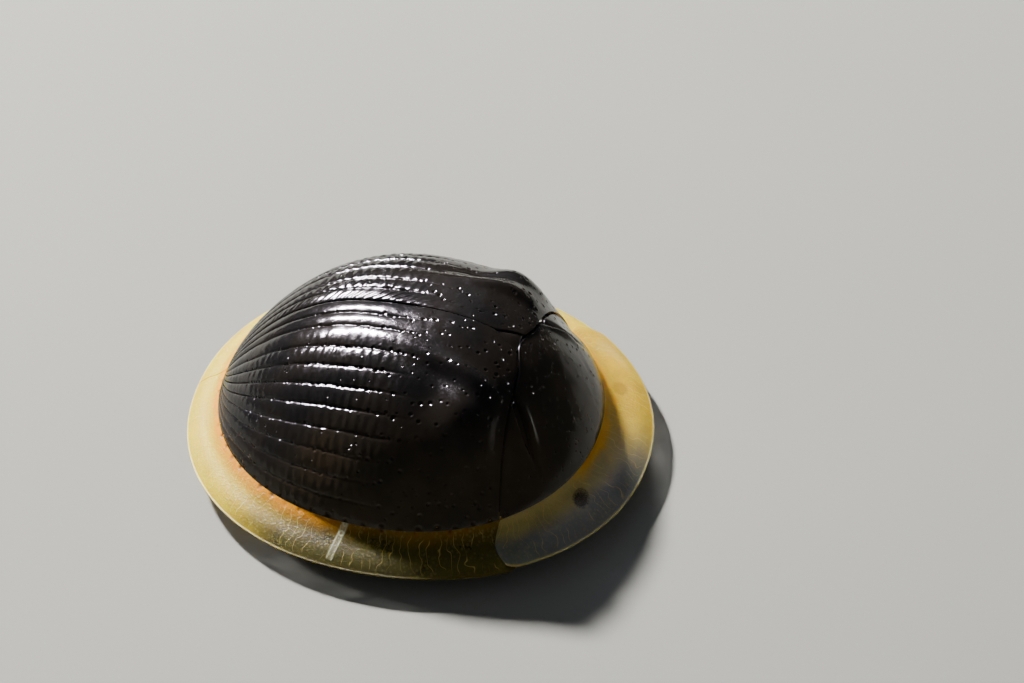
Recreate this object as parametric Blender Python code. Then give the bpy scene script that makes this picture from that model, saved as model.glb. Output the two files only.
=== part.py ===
"""Tortoise beetle, clamped down with its head, feelers and legs drawn in below the shell.

The head points to -Y, the beetle's own left is +X and the floor is at Z = 0.  From above the
shell is one broad oval: a dark dome inside a thin flat margin, parted by seams into the
pronotum, the scutellum and the two elytra.  It stands on the flat soles of its six feet.
"""

import math

import bmesh
import bpy
from mathutils import Vector

MM = 0.001

# Shell outline, seen from above
LENGTH = 7.0 * MM
WIDTH = 6.8 * MM
WIDEST_Y = 0.1 * MM
ROUNDNESS = 2.1
MARGIN_SIDE = 0.54 * MM
MARGIN_FRONT = 0.75 * MM
MARGIN_REAR = 0.46 * MM

# Shell heights, and how full the dome is
RIM_Z = 0.37 * MM
RIM_THICKNESS = 0.15 * MM
MARGIN_RISE = 0.40 * MM
DOME_RISE = 1.90 * MM
DOME_FULLNESS = 2.55
DOME_SHOULDER = 0.87
SHELL_THICKNESS = 0.45 * MM
EDGE_Z = RIM_Z + MARGIN_RISE
CEILING_INSET_SIDE = 0.30 * MM
CEILING_INSET_END = 0.20 * MM
CEILING_Z = 0.62 * MM

# Gap between neighbours, kept fine because the whole animal is so small
GAP = 0.1 * MM

# Seam between pronotum and elytra, on the midline and towards the sides
SEAM_Y = -1.50 * MM
SEAM_LOBE = 0.13 * MM
SEAM_LOBE_WIDTH = 0.35 * MM
SEAM_SWEEP = 0.15 * MM
SEAM_SWEEP_WIDTH = 2.2 * MM
SCUTELLUM_WIDTH = 0.44 * MM
SCUTELLUM_LENGTH = 0.34 * MM
PRONOTUM_STEP = 0.06 * MM

# Seam across the margin, where both pieces curl forward to a small notch in the rim
CORNER_BULGE = Vector((0.10, 0.24)) * MM
CORNER_TURN = math.radians(3.2)
CORNER_FADE = 6
SHOULDER_TURN = math.radians(2.5)
SHOULDER_FADE = 8

# Share of the pronotum's quarter outline that is its flank, and the elytra's hind end
FLANK_SHARE = 0.35
APEX_ANGLE = math.radians(80)

# Ribs of the elytra, which fade out towards the shoulders and the rear tip
RIBS = 10
RIB_HEIGHT = 0.035 * MM
RIB_FAN = 1.2
RIB_FADE_Y = -1.2 * MM
RIB_FADE_LENGTH = 1.0 * MM
RIB_FADE_WIDTH = 1.2 * MM

# Soft forms of the left half's dome: place, size and height
CALLUS = (Vector((1.70, -1.28)) * MM, Vector((0.34, 0.34)) * MM, 0.10 * MM)
HOLLOW = (Vector((1.50, -0.62)) * MM, Vector((0.34, 0.30)) * MM, -0.08 * MM)
RIDGE = (Vector((0.90, -0.85)) * MM, Vector((0.20, 0.55)) * MM, 0.05 * MM)
GROOVE = (Vector((1.08, -1.88)) * MM, Vector((0.10, 0.22)) * MM, -0.07 * MM)

# Body below the shell
VENTER_Z = 0.72 * MM
VENTER_KEEL = 0.05 * MM
BODY_CLEARANCE = 0.15 * MM
BODY_SIDE = 0.15 * MM
BODY_TUCK = 0.97
PROTHORAX_SPAN = (-2.08 * MM, -1.42 * MM)
THORAX_SPAN = (-1.32 * MM, 0.36 * MM)
ABDOMEN_SPAN = (0.46 * MM, 2.46 * MM)
VENTRITES = 5
VENTRITE_STEP = 0.05 * MM
HEAD_CENTRE = Vector((0, -2.38, 0.33)) * MM
HEAD_HALF = Vector((0.96, 0.46, 0.22)) * MM
LIP_CENTRE = Vector((0, -2.68, 0.23)) * MM
LIP_HALF = Vector((0.28, 0.17, 0.11)) * MM
JAW = (Vector((0.17, -2.72, 0.19)) * MM, Vector((0.05, -2.87, 0.15)) * MM)
JAW_RADIUS = 0.07 * MM
JAW_TAPER = 0.7
PALP = (Vector((0.34, -2.66, 0.19)) * MM, Vector((0.38, -2.90, 0.12)) * MM)
PALP_RADIUS = 0.055 * MM
PALP_TAPER = 0.8
EYE_CENTRE = Vector((1.00, -2.69, 0.36)) * MM
EYE_HALF = Vector((0.15, 0.17, 0.13)) * MM

# Feelers: eleven segments from the head back below the margin, the left one's route in mm
FEELER_SEGMENTS = 11
RINGS_PER_SEGMENT = 3
FEELER_BASE = 0.19 * MM
FEELER_CLUB = 0.22 * MM
FEELER_WAIST = 0.88
FEELER_TIP = 0.5
FEELER_ROUTE = ((1.00, -2.22, 0.29), (1.37, -2.23, 0.28), (1.80, -1.98, 0.27), (2.13, -1.55, 0.27),
                (2.33, -1.08, 0.28))

# Legs: coxa, knee, ankle and toe of each left leg, as X, Y and Z in mm
LEG_POINTS = {
    "front": ((0.42, -1.62, 0.42), (1.35, -1.70, 0.36), (1.62, -1.28, 0.24), (1.80, -0.97, 0.15)),
    "middle": ((0.55, -0.70, 0.42), (1.72, -0.46, 0.36), (2.26, -0.14, 0.24), (2.36, 0.26, 0.15)),
    "hind": ((0.50, 0.08, 0.42), (1.55, 0.74, 0.36), (2.08, 1.12, 0.24), (2.10, 1.56, 0.15)),
}
COXA_RADIUS = 0.19 * MM
FEMUR_BELLY = 0.06 * MM
SHANK_RADIUS = 0.20 * MM
SHANK_TAPER = 0.85
FOOT_PADS = 3
PAD_HALF = Vector((0.13, 0.17, 0.14)) * MM
SOLE_CUT = 0.03 * MM
CLAW_SPREAD = math.radians(24)
CLAW_LENGTH = 0.20 * MM
CLAW_RADIUS = 0.05 * MM
CLAW_TAPER = 0.5

# Grid density: columns a rib, rows along the shell, strips across the margin
COLUMNS_PER_RIB = 4
SHELL_ROWS = 24
MARGIN_STRIPS = 4
PRONOTUM_COLUMNS = 32
PRONOTUM_ROWS = 8
SEAM_ROUNDS = 12

# Grid density of the trunk's sections, over and under, and of a limb's rounded ends
RING_OVER = 12
RING_UNDER = 6
CAP_SHARES = (0.45, 0.85)
LIMB_STEPS = 4
SHARP_ANGLE = math.radians(40)

# Colour and roughness of each kind of cuticle
SHELL_BLACK = ((0.012, 0.010, 0.010), 0.15)
EYE_BLACK = ((0.012, 0.010, 0.010), 0.10)
LIMB_AMBER = ((0.55, 0.34, 0.06), 0.40)
UNDERSIDE_BROWN = ((0.10, 0.05, 0.02), 0.40)


for old in list(bpy.data.objects):
    bpy.data.objects.remove(old, do_unlink=True)


class Oval:
    """An oval outline round the shell's widest line, with its own front and rear lengths."""

    def __init__(self, side, front, rear):
        self.side, self.front, self.rear = side, front, rear

    def length(self, y):
        return self.front if y < WIDEST_Y else self.rear

    def half_width(self, y):
        share = min(1.0, abs(y - WIDEST_Y) / self.length(y))
        return self.side * (1 - share**ROUNDNESS) ** (1 / ROUNDNESS)

    def angle(self, y):
        return math.asin(max(-1.0, min(1.0, (y - WIDEST_Y) / self.length(y))))

    def at(self, angle):
        """Point on the half towards +X; -90 degrees is the front tip and +90 the rear."""
        y = WIDEST_Y + (self.front if angle < 0 else self.rear) * math.sin(angle)
        return Vector((self.half_width(y), y))

    def reach(self, x, y):
        """0 at the centre, 1 on the outline."""
        across = abs(x / self.side) ** ROUNDNESS
        along = abs((y - WIDEST_Y) / self.length(y)) ** ROUNDNESS
        return (across + along) ** (1 / ROUNDNESS)

    def inset(self, side, front, rear):
        return Oval(self.side - side, self.front - front, self.rear - rear)


RIM = Oval(WIDTH / 2, LENGTH / 2 + WIDEST_Y, LENGTH / 2 - WIDEST_Y)
DISC = RIM.inset(MARGIN_SIDE, MARGIN_FRONT, MARGIN_REAR)
CEILING = DISC.inset(CEILING_INSET_SIDE, CEILING_INSET_END, CEILING_INSET_END)


def swell(oval, x, y, base, rise):
    reach = min(1.0, oval.reach(x, y))
    return base + rise * (1 - reach**DOME_FULLNESS) ** DOME_SHOULDER


def ceiling_height(x, y):
    """Underside of the dome."""
    return swell(CEILING, x, y, CEILING_Z, EDGE_Z + DOME_RISE - SHELL_THICKNESS - CEILING_Z)


def bump(x, y, form):
    """A soft round swelling, or a dent where the form's height is negative."""
    spot, size, height = form
    away = ((x - spot.x) / size.x) ** 2 + ((y - spot.y) / size.y) ** 2
    return height * math.exp(-away)


def seam_y(x):
    """Hind edge of the pronotum: a lobe at the middle, then swept forward to the corners."""
    lobe = SEAM_LOBE * (1 - math.exp(-((x / SEAM_LOBE_WIDTH) ** 2)))
    return SEAM_Y - lobe - SEAM_SWEEP * abs(x / SEAM_SWEEP_WIDTH) ** 4


def elytra_front_y(x):
    """Front edge of the elytra, with the notch that holds the scutellum."""
    notch = SCUTELLUM_LENGTH * max(0.0, 1 - abs(x) / (SCUTELLUM_WIDTH / 2))
    return seam_y(x) + GAP + notch


def elytron_height(x, y, share):
    """Outer face of an elytron; share runs from the suture to the dome's edge."""
    fade = min(1.0, DISC.half_width(y) / RIB_FADE_WIDTH)
    fade *= min(1.0, max(0.0, (y - RIB_FADE_Y) / RIB_FADE_LENGTH))
    rib = -RIB_HEIGHT * fade * math.cos(2 * math.pi * RIBS * share)
    soft_forms = bump(x, y, CALLUS) + bump(x, y, HOLLOW) + bump(x, y, RIDGE)
    return swell(DISC, x, y, EDGE_Z, DOME_RISE) + rib + soft_forms


def pronotum_height(x, y):
    """Outer face of the pronotum, lower than the elytra, with a groove near each side."""
    return swell(DISC, x, y, EDGE_Z, DOME_RISE) - PRONOTUM_STEP + bump(x, y, GROOVE)


def fan(share):
    """Place of a rib across the dome, closer set towards the edge."""
    return math.sin(RIB_FAN * share) / math.sin(RIB_FAN)


def margin_point(inner, rim, drift, across):
    """Point across the margin, from the dome's edge to the rim and down the rim's own edge.

    The drift bows the way across: it is nothing at either end and full about half way.
    """
    if across > 1:
        return Vector((rim.x, rim.y, RIM_Z - RIM_THICKNESS))
    place = inner.xy.lerp(rim, across) + drift * across * (1 - across**3) * 2
    return Vector((place.x, place.y, inner.z + (RIM_Z - inner.z) * across))


def elytron_point(share, along, across, upper):
    """Point of the left elytron: share across the dome, along it, and across its margin."""
    oval = DISC if upper else CEILING
    y = SEAM_Y
    for _ in range(SEAM_ROUNDS):
        y = elytra_front_y(fan(share) * oval.half_width(y))
    start = oval.angle(y)
    angle = start + (APEX_ANGLE - start) * along
    edge = oval.at(angle)
    x = GAP / 2 + fan(share) * (edge.x - GAP / 2)
    height = elytron_height(x, edge.y, share) if upper else ceiling_height(x, edge.y)
    inner = Vector((x, edge.y, height))
    if across == 0:
        return inner
    if share == 1:
        front_end = (1 - along) ** SHOULDER_FADE
        rim = RIM.at(angle + SHOULDER_TURN * front_end)
        return margin_point(inner, rim, CORNER_BULGE * front_end, across)
    x = GAP / 2 + fan(share) * (RIM.at(APEX_ANGLE).x - GAP / 2)
    rim = Vector((x, WIDEST_Y + RIM.rear * (1 - (x / RIM.side) ** ROUNDNESS) ** (1 / ROUNDNESS)))
    return margin_point(inner, rim, Vector((0, 0)), across)


def pronotum_point(share, along, across, upper):
    """Point of the pronotum: share from the right corner to the left, along to the front."""
    oval = DISC if upper else CEILING
    y = SEAM_Y
    for _ in range(SEAM_ROUNDS):
        y = seam_y(oval.half_width(y)) - GAP / 2
    corner_angle = oval.angle(y)
    turn_angle = corner_angle + (-math.pi / 2 - corner_angle) * FLANK_SHARE
    corner = oval.at(corner_angle)

    def seam_side(part):
        x = corner.x * (2 * part - 1)
        return Vector((x, seam_y(x) - GAP / 2))

    def flank(sign, part):
        point = oval.at(corner_angle + (turn_angle - corner_angle) * part)
        return Vector((sign * point.x, point.y))

    def brow(part):
        point = oval.at(turn_angle + (-math.pi / 2 - turn_angle) * (1 - abs(2 * part - 1)))
        return Vector((math.copysign(point.x, part - 0.5), point.y))

    place = seam_side(share) * (1 - along) + brow(share) * along
    place += flank(-1, along) * (1 - share) + flank(1, along) * share
    for side, sign in ((1 - share, -1), (share, 1)):
        place -= side * ((1 - along) * flank(sign, 0) + along * flank(sign, 1))
    height = pronotum_height(abs(place.x), place.y) if upper else ceiling_height(place.x, place.y)
    inner = place.to_3d() + Vector((0, 0, height))
    if across == 0:
        return inner
    flank_end = (1 - along) ** CORNER_FADE if share in (0, 1) else 0
    rim = RIM.at(oval.angle(place.y) + CORNER_TURN * flank_end)
    if abs(place.x) < 1e-9:
        rim = RIM.at(-math.pi / 2)
    rim.x = math.copysign(rim.x, place.x)
    drift = Vector((math.copysign(CORNER_BULGE.x, place.x), CORNER_BULGE.y)) * flank_end
    return margin_point(inner, rim, drift, across)


def sheet(mesh, counts, place, both_flanks):
    """One face of a shell, as a grid with margin strips round its free sides.

    The last strip turns down the rim's edge.  A sheet with no strips stops at the dome's edge.
    Returns the stretches of its border in order, each a list of vertices.
    """
    columns, rows, strips = counts
    made = {}

    def corner(i, j, k):
        if (i, j, k) not in made:
            across = k / (strips - 1) if k else 0
            made[i, j, k] = mesh.verts.new(place(i / columns, j / rows, across))
        return made[i, j, k]

    def quads(path):
        """Faces between neighbouring lines of vertices."""
        for line, following in zip(path, path[1:]):
            for a, b, c, d in zip(line, line[1:], following[1:], following):
                mesh.faces.new((a, b, c, d))

    quads([[corner(i, j, 0) for i in range(columns + 1)] for j in range(rows + 1)])
    outward = [(columns, j) for j in range(rows + 1)]
    outward += [(i, rows) for i in range(columns - 1, -1, -1)]
    if both_flanks:
        outward += [(0, j) for j in range(rows - 1, -1, -1)]
    quads([[corner(i, j, k) for k in range(strips + 1)] for i, j in outward])

    last = (0, 0) if both_flanks else (0, rows)
    border = [[corner(i, 0, 0) for i in range(columns + 1)]]
    border.append([corner(columns, 0, k) for k in range(strips + 1)])
    border.append([corner(columns, j, strips) for j in range(rows + 1)])
    border.append([corner(i, rows, strips) for i in range(columns, -1, -1)])
    if both_flanks:
        border.append([corner(0, j, strips) for j in range(rows, -1, -1)])
    border.append([corner(*last, k) for k in range(strips, -1, -1)])
    if not both_flanks:
        border.append([corner(0, j, 0) for j in range(rows, -1, -1)])
    return border


def shell(name, point, fine, coarse, both_flanks, mirrored=False):
    """A closed shell: a fine outer face, a coarse underside and the wall between them."""
    mesh = bmesh.new()
    upper = sheet(mesh, fine, lambda s, v, m: point(s, v, m, True), both_flanks)
    lower = sheet(mesh, coarse, lambda s, v, m: point(s, v, m, False), both_flanks)
    for above, below in zip(upper, lower):
        if len(below) == 1:
            mesh.faces.new([*above, below[0]])
            continue
        step = (len(above) - 1) // (len(below) - 1)
        for n, (a, b) in enumerate(zip(below, below[1:])):
            mesh.faces.new([*above[n * step : (n + 1) * step + 1], b, a])
    if mirrored:
        for vertex in mesh.verts:
            vertex.co.x = -vertex.co.x
    return finish(name, mesh, SHELL_BLACK)


def material(name, paint):
    colour, roughness = paint
    made = bpy.data.materials.new(name)
    made.use_nodes = True
    shader = made.node_tree.nodes["Principled BSDF"]
    shader.inputs["Base Color"].default_value = (*colour, 1)
    shader.inputs["Roughness"].default_value = roughness
    shader.inputs["Metallic"].default_value = 0
    return made


def finish(name, mesh, paint):
    """Turns the faces outward, splits them into triangles and makes the object."""
    bmesh.ops.recalc_face_normals(mesh, faces=mesh.faces)
    if mesh.calc_volume(signed=True) < 0:
        bmesh.ops.reverse_faces(mesh, faces=mesh.faces)
    bmesh.ops.triangulate(mesh, faces=mesh.faces)
    data = bpy.data.meshes.new(name)
    mesh.to_mesh(data)
    mesh.free()
    data.materials.append(material(name, paint))
    data.shade_smooth()
    data.set_sharp_from_angle(angle=SHARP_ANGLE)
    piece = bpy.data.objects.new(name, data)
    bpy.context.scene.collection.objects.link(piece)
    return piece


def loft(name, rings, paint):
    """Closed body through rings of points, with flat ends."""
    mesh = bmesh.new()
    loops = [[mesh.verts.new(point) for point in ring] for ring in rings]
    for ring, following in zip(loops, loops[1:]):
        for n in range(len(ring)):
            after = (n + 1) % len(ring)
            mesh.faces.new((ring[n], ring[after], following[after], following[n]))
    mesh.faces.new(loops[0])
    mesh.faces.new(loops[-1])
    return finish(name, mesh, paint)


def body_half_width(y):
    """How far out the dome still leaves room for the trunk's side."""
    inner, outer = 0.0, CEILING.half_width(y)
    for _ in range(20):
        middle = (inner + outer) / 2
        if ceiling_height(middle, y) - BODY_CLEARANCE > VENTER_Z + BODY_SIDE:
            inner = middle
        else:
            outer = middle
    return inner


def body_ring(y, lower):
    """Section of the trunk at one station, filling the dome down to the underside."""
    half = body_half_width(y)
    ring = []
    for n in range(RING_OVER + 1):
        x = half * math.cos(math.pi * n / RING_OVER)
        ring.append(Vector((x, y, ceiling_height(x, y) - BODY_CLEARANCE)))
    for n in range(RING_UNDER + 1):
        x = half * BODY_TUCK * (2 * n / RING_UNDER - 1)
        keel = VENTER_KEEL * (1 - (x / half) ** 2)
        ring.append(Vector((x, y, lower - keel)))
    return ring


def trunk(name, span, stations, lower=lambda share: VENTER_Z):
    start, end = span
    shares = [n / stations for n in range(stations + 1)]
    rings = [body_ring(start + (end - start) * share, lower(share)) for share in shares]
    return loft(name, rings, UNDERSIDE_BROWN)


def ventrite_step(share):
    """Underside of the abdomen: each ventrite laps the next like a shallow roof tile."""
    return VENTER_Z + VENTRITE_STEP * ((share * VENTRITES) % 1.0 if share < 1 else 1.0)


def ball(mesh, centre, half, across=16, up=8):
    made = bmesh.ops.create_uvsphere(mesh, u_segments=across, v_segments=up, radius=1)
    for vertex in made["verts"]:
        vertex.co = Vector(a * b for a, b in zip(vertex.co, half)) + centre


def curve_points(route, count):
    """Smooth run of points through the route's own points."""
    knots = [Vector(point) * MM for point in route]
    knots = [2 * knots[0] - knots[1], *knots, 2 * knots[-1] - knots[-2]]
    points = []
    for n in range(count + 1):
        place = n / count * (len(knots) - 3)
        at = min(int(place), len(knots) - 4)
        t = place - at
        a, b, c, d = knots[at : at + 4]
        points.append(0.5 * (2 * b + (c - a) * t + (2 * a - 5 * b + 4 * c - d) * t**2
                             + (3 * b - 3 * c + d - a) * t**3))
    return points


def tube_rings(points, radii, sides):
    """Rings round a path, each square to it."""
    rings = []
    for n, (point, radius) in enumerate(zip(points, radii)):
        ahead = points[min(n + 1, len(points) - 1)] - points[max(n - 1, 0)]
        aside = ahead.cross(Vector((0, 0, 1))).normalized()
        above = aside.cross(ahead).normalized()
        turns = [2 * math.pi * k / sides for k in range(sides)]
        rings.append([point + radius * (math.cos(t) * aside + math.sin(t) * above) for t in turns])
    return rings


def capsule(start, end, wide, narrow, belly=0.0, sides=8):
    """Limb segment: a rod with round ends that tapers and may be thicker half way."""
    shares = [n / LIMB_STEPS for n in range(LIMB_STEPS + 1)]
    along = (end - start).normalized()
    points = [start - along * wide * math.sqrt(1 - c * c) for c in CAP_SHARES]
    points += [start.lerp(end, share) for share in shares]
    points += [end + along * narrow * math.sqrt(1 - c * c) for c in reversed(CAP_SHARES)]
    radii = [wide * c for c in CAP_SHARES]
    radii += [wide + (narrow - wide) * share + belly * math.sin(math.pi * share) for share in shares]
    radii += [narrow * c for c in reversed(CAP_SHARES)]
    return loft("segment", tube_rings(points, radii, sides), LIMB_AMBER)


def pad(centre, ahead, half):
    """Oval pad of a foot."""
    mesh = bmesh.new()
    ball(mesh, Vector((0, 0, 0)), half, 12, 6)
    aside = Vector((-ahead.y, ahead.x, 0))
    for vertex in mesh.verts:
        vertex.co = centre + ahead * vertex.co.x + aside * vertex.co.y + Vector((0, 0, vertex.co.z))
    return finish("pad", mesh, LIMB_AMBER)


def below_floor():
    """Block under the floor, which cuts the soles flat."""
    mesh = bmesh.new()
    bmesh.ops.create_cube(mesh, size=2 * LENGTH)
    bmesh.ops.translate(mesh, verts=mesh.verts, vec=(0, 0, -LENGTH))
    return finish("below_floor", mesh, LIMB_AMBER)


def fuse(name, pieces, paint):
    """Joins overlapping closed pieces into one body, cut flat at the floor."""
    group = bpy.data.collections.new(name + "_pieces")
    for piece in pieces[1:]:
        bpy.context.scene.collection.objects.unlink(piece)
        group.objects.link(piece)
    union = pieces[0].modifiers.new("union", "BOOLEAN")
    union.operation = "UNION"
    union.operand_type = "COLLECTION"
    union.collection = group
    union.solver = "MANIFOLD"
    block = below_floor()
    soles = pieces[0].modifiers.new("soles", "BOOLEAN")
    soles.operation = "DIFFERENCE"
    soles.object = block
    soles.solver = "MANIFOLD"
    graph = bpy.context.evaluated_depsgraph_get()
    mesh = bmesh.new()
    mesh.from_mesh(pieces[0].evaluated_get(graph).to_mesh())
    keep_largest(mesh)
    for piece in (*pieces, block):
        bpy.data.objects.remove(piece, do_unlink=True)
    bpy.data.collections.remove(group)
    return finish(name, mesh, paint)


def keep_largest(mesh):
    """Drops all but the closed surface with the most faces."""
    left = set(mesh.faces)
    shells = []
    while left:
        front = [left.pop()]
        part = set(front)
        while front:
            face = front.pop()
            near = {other for edge in face.edges for other in edge.link_faces} & left
            left -= near
            part |= near
            front.extend(near)
        shells.append(part)
    largest = max(shells, key=len)
    spare = [face for face in mesh.faces if face not in largest]
    bmesh.ops.delete(mesh, geom=spare, context="FACES")


def make_elytra():
    fine = (RIBS * COLUMNS_PER_RIB, SHELL_ROWS, MARGIN_STRIPS)
    coarse = (RIBS // 2, SHELL_ROWS // 3, 0)
    for side in ("left", "right"):
        shell("elytron_" + side, elytron_point, fine, coarse, both_flanks=False, mirrored=side == "right")


def make_pronotum():
    fine = (PRONOTUM_COLUMNS, PRONOTUM_ROWS, MARGIN_STRIPS)
    coarse = (PRONOTUM_COLUMNS // 4, PRONOTUM_ROWS // 4, 0)
    shell("pronotum", pronotum_point, fine, coarse, both_flanks=True)


def make_scutellum():
    """Small triangular plate between the pronotum's lobe and the elytra."""
    base = SEAM_Y + GAP / 2
    half = SCUTELLUM_WIDTH / 2 - GAP / 2
    tip = base + SCUTELLUM_LENGTH - GAP / 2
    mesh = bmesh.new()
    levels = []
    for sink in (0, SHELL_THICKNESS):
        level = []
        for x, y in ((-half, base), (half, base), (0, tip)):
            level.append(mesh.verts.new((x, y, swell(DISC, x, y, EDGE_Z, DOME_RISE) - sink)))
        mesh.faces.new(level)
        levels.append(level)
    above, below = levels
    for n in range(3):
        mesh.faces.new((above[n], above[n - 1], below[n - 1], below[n]))
    finish("scutellum", mesh, SHELL_BLACK)


def make_trunk():
    trunk("prothorax", PROTHORAX_SPAN, stations=3)
    trunk("thorax", THORAX_SPAN, stations=5)
    trunk("abdomen", ABDOMEN_SPAN, stations=VENTRITES * 4, lower=ventrite_step)


def make_head():
    """Flat wide head with its face turned down, the lip and two jaws in front."""
    skull = bmesh.new()
    ball(skull, HEAD_CENTRE, HEAD_HALF, 24, 12)
    lip = bmesh.new()
    ball(lip, LIP_CENTRE, LIP_HALF, 12, 6)
    pieces = [finish("skull", skull, UNDERSIDE_BROWN), finish("lip", lip, UNDERSIDE_BROWN)]
    for sign in (1, -1):
        root, tip = (Vector((sign * point.x, point.y, point.z)) for point in JAW)
        pieces.append(capsule(root, tip, JAW_RADIUS, JAW_RADIUS * JAW_TAPER))
        root, tip = (Vector((sign * point.x, point.y, point.z)) for point in PALP)
        pieces.append(capsule(root, tip, PALP_RADIUS, PALP_RADIUS * PALP_TAPER))
    fuse("head", pieces, UNDERSIDE_BROWN)
    for side, sign in (("left", 1), ("right", -1)):
        mesh = bmesh.new()
        ball(mesh, Vector((sign * EYE_CENTRE.x, EYE_CENTRE.y, EYE_CENTRE.z)), EYE_HALF)
        finish("eye_" + side, mesh, EYE_BLACK)


def make_feelers():
    count = FEELER_SEGMENTS * RINGS_PER_SEGMENT
    for side, sign in (("left", 1), ("right", -1)):
        points = curve_points([(sign * x, y, z) for x, y, z in FEELER_ROUTE], count)
        radii = []
        for n in range(count + 1):
            radius = FEELER_BASE + (FEELER_CLUB - FEELER_BASE) * n / count
            waist = FEELER_WAIST if n % RINGS_PER_SEGMENT == 0 else 1.0
            radii.append(radius * waist * (FEELER_TIP if n == count else 1.0))
        loft("antenna_" + side, tube_rings(points, radii, 8), LIMB_AMBER)


def leg_pieces(coxa, knee, ankle, toe):
    """Thigh, shank, the foot's pads in a row and a pair of claws at its tip."""
    pieces = [
        capsule(coxa, knee, COXA_RADIUS, COXA_RADIUS, FEMUR_BELLY),
        capsule(knee, ankle, SHANK_RADIUS * SHANK_TAPER, SHANK_RADIUS),
    ]
    ahead = Vector((toe.x - ankle.x, toe.y - ankle.y, 0)).normalized()
    for n in range(FOOT_PADS):
        centre = ankle.lerp(toe, (n + 0.5) / FOOT_PADS)
        centre.z = PAD_HALF.z - SOLE_CUT
        pieces.append(pad(centre, ahead, PAD_HALF))
    aside = Vector((-ahead.y, ahead.x, 0))
    for sign in (1, -1):
        outward = ahead * math.cos(CLAW_SPREAD) + sign * aside * math.sin(CLAW_SPREAD)
        root = Vector((toe.x, toe.y, PAD_HALF.z - SOLE_CUT))
        tip = root + outward * CLAW_LENGTH
        tip.z = CLAW_RADIUS
        pieces.append(capsule(root, tip, CLAW_RADIUS, CLAW_RADIUS * CLAW_TAPER, sides=6))
    return pieces


def make_legs():
    for side, sign in (("left", 1), ("right", -1)):
        for pair, route in LEG_POINTS.items():
            points = [Vector((sign * x, y, z)) * MM for x, y, z in route]
            fuse(f"leg_{pair}_{side}", leg_pieces(*points), LIMB_AMBER)


make_pronotum()
make_scutellum()
make_elytra()
make_trunk()
make_head()
make_feelers()
make_legs()
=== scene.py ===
"""A tortoise beetle, life size: black ribbed wing cases in a clear amber brim, clamped down.

The head points to -Y, the beetle's own left is +X and the floor is at Z = 0.  Shapes are worked
out in millimetres and written to the meshes in metres.
"""

import math
from functools import partialmethod

import bmesh
import bpy
import numpy as np
from mathutils import Matrix, Vector


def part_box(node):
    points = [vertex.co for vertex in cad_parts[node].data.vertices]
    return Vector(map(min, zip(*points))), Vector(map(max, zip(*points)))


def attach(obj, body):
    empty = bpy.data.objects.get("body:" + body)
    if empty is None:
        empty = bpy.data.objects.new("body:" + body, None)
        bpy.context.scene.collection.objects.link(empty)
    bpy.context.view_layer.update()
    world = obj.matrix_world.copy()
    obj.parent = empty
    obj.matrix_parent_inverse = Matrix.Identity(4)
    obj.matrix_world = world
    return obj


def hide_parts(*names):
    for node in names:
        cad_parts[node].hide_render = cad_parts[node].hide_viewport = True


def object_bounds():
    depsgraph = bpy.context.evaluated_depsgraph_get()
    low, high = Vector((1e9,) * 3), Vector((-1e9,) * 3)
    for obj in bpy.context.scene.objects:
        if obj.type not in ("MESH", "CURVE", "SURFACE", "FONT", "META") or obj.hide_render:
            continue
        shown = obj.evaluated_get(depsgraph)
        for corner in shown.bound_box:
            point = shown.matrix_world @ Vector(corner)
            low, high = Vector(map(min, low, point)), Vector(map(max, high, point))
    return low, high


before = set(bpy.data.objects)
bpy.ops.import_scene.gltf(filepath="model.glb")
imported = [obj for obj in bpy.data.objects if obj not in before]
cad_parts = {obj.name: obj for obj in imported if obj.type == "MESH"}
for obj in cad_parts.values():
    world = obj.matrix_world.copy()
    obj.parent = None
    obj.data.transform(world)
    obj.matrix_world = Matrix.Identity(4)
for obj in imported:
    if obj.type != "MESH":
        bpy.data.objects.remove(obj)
cad_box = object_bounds()


# Wing cases
# The two elytra are hard, thin sheets of black cuticle.  Each is domed, with eleven ribs that run back
# to the rear tip and a row of pits in every furrow.  They meet in a hairline seam at the midline, and
# a tongue of the left one lies below the right one's edge.
MM, TO_MM = 0.001, 1000.0
WIDEST_Y = 0.1
ROUNDNESS = 2.1
RIM_SIDE = max(-cad_box[0].x, cad_box[1].x) / MM
RIM_FRONT = WIDEST_Y - cad_box[0].y / MM
RIM_REAR = cad_box[1].y / MM - WIDEST_Y
MARGIN_SIDE, MARGIN_FRONT, MARGIN_REAR = 0.54, 0.75, 0.46
EDGE_Z = 0.77
DOME_RISE = 1.90
DOME_FULLNESS = 2.55
DOME_SHOULDER = 0.87
SHEET_INSET = 0.045
SHEET_CREASE = math.radians(66)
SEAM_Y = -1.50
SEAM_LOBE, SEAM_LOBE_WIDTH = 0.13, 0.35
SEAM_SWEEP, SEAM_SWEEP_WIDTH = 0.15, 2.2
SEAM_GAP = 0.007
SUTURE_GAP = 0.004
TONGUE = 0.03
SCUTELLUM_WIDTH, SCUTELLUM_LENGTH = 0.44, 0.34
RIBS = 11
RIB_FAN = 1.2
RIB_HEIGHT = 0.031
RIB_SHIFT, RIB_SHIFT_AT, RIB_SHIFT_WIDTH = 0.26, 0.15, 0.075
PITS_PER_ROW = 46
MERGE_DISTANCE = 0.0004
# Shoulder, the hollow behind it, a fold and a furrow beside it: height, place, half size, turn
SHOULDER_FORMS = (
    (0.20, (1.50, -1.02), (0.48, 0.50), 0.0),
    (-0.08, (1.50, -0.62), (0.36, 0.30), 0.0),
    (0.06, (0.98, -0.90), (0.13, 0.62), 10.0),
    (-0.05, (1.22, -0.75), (0.12, 0.60), 14.0),
)
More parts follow.
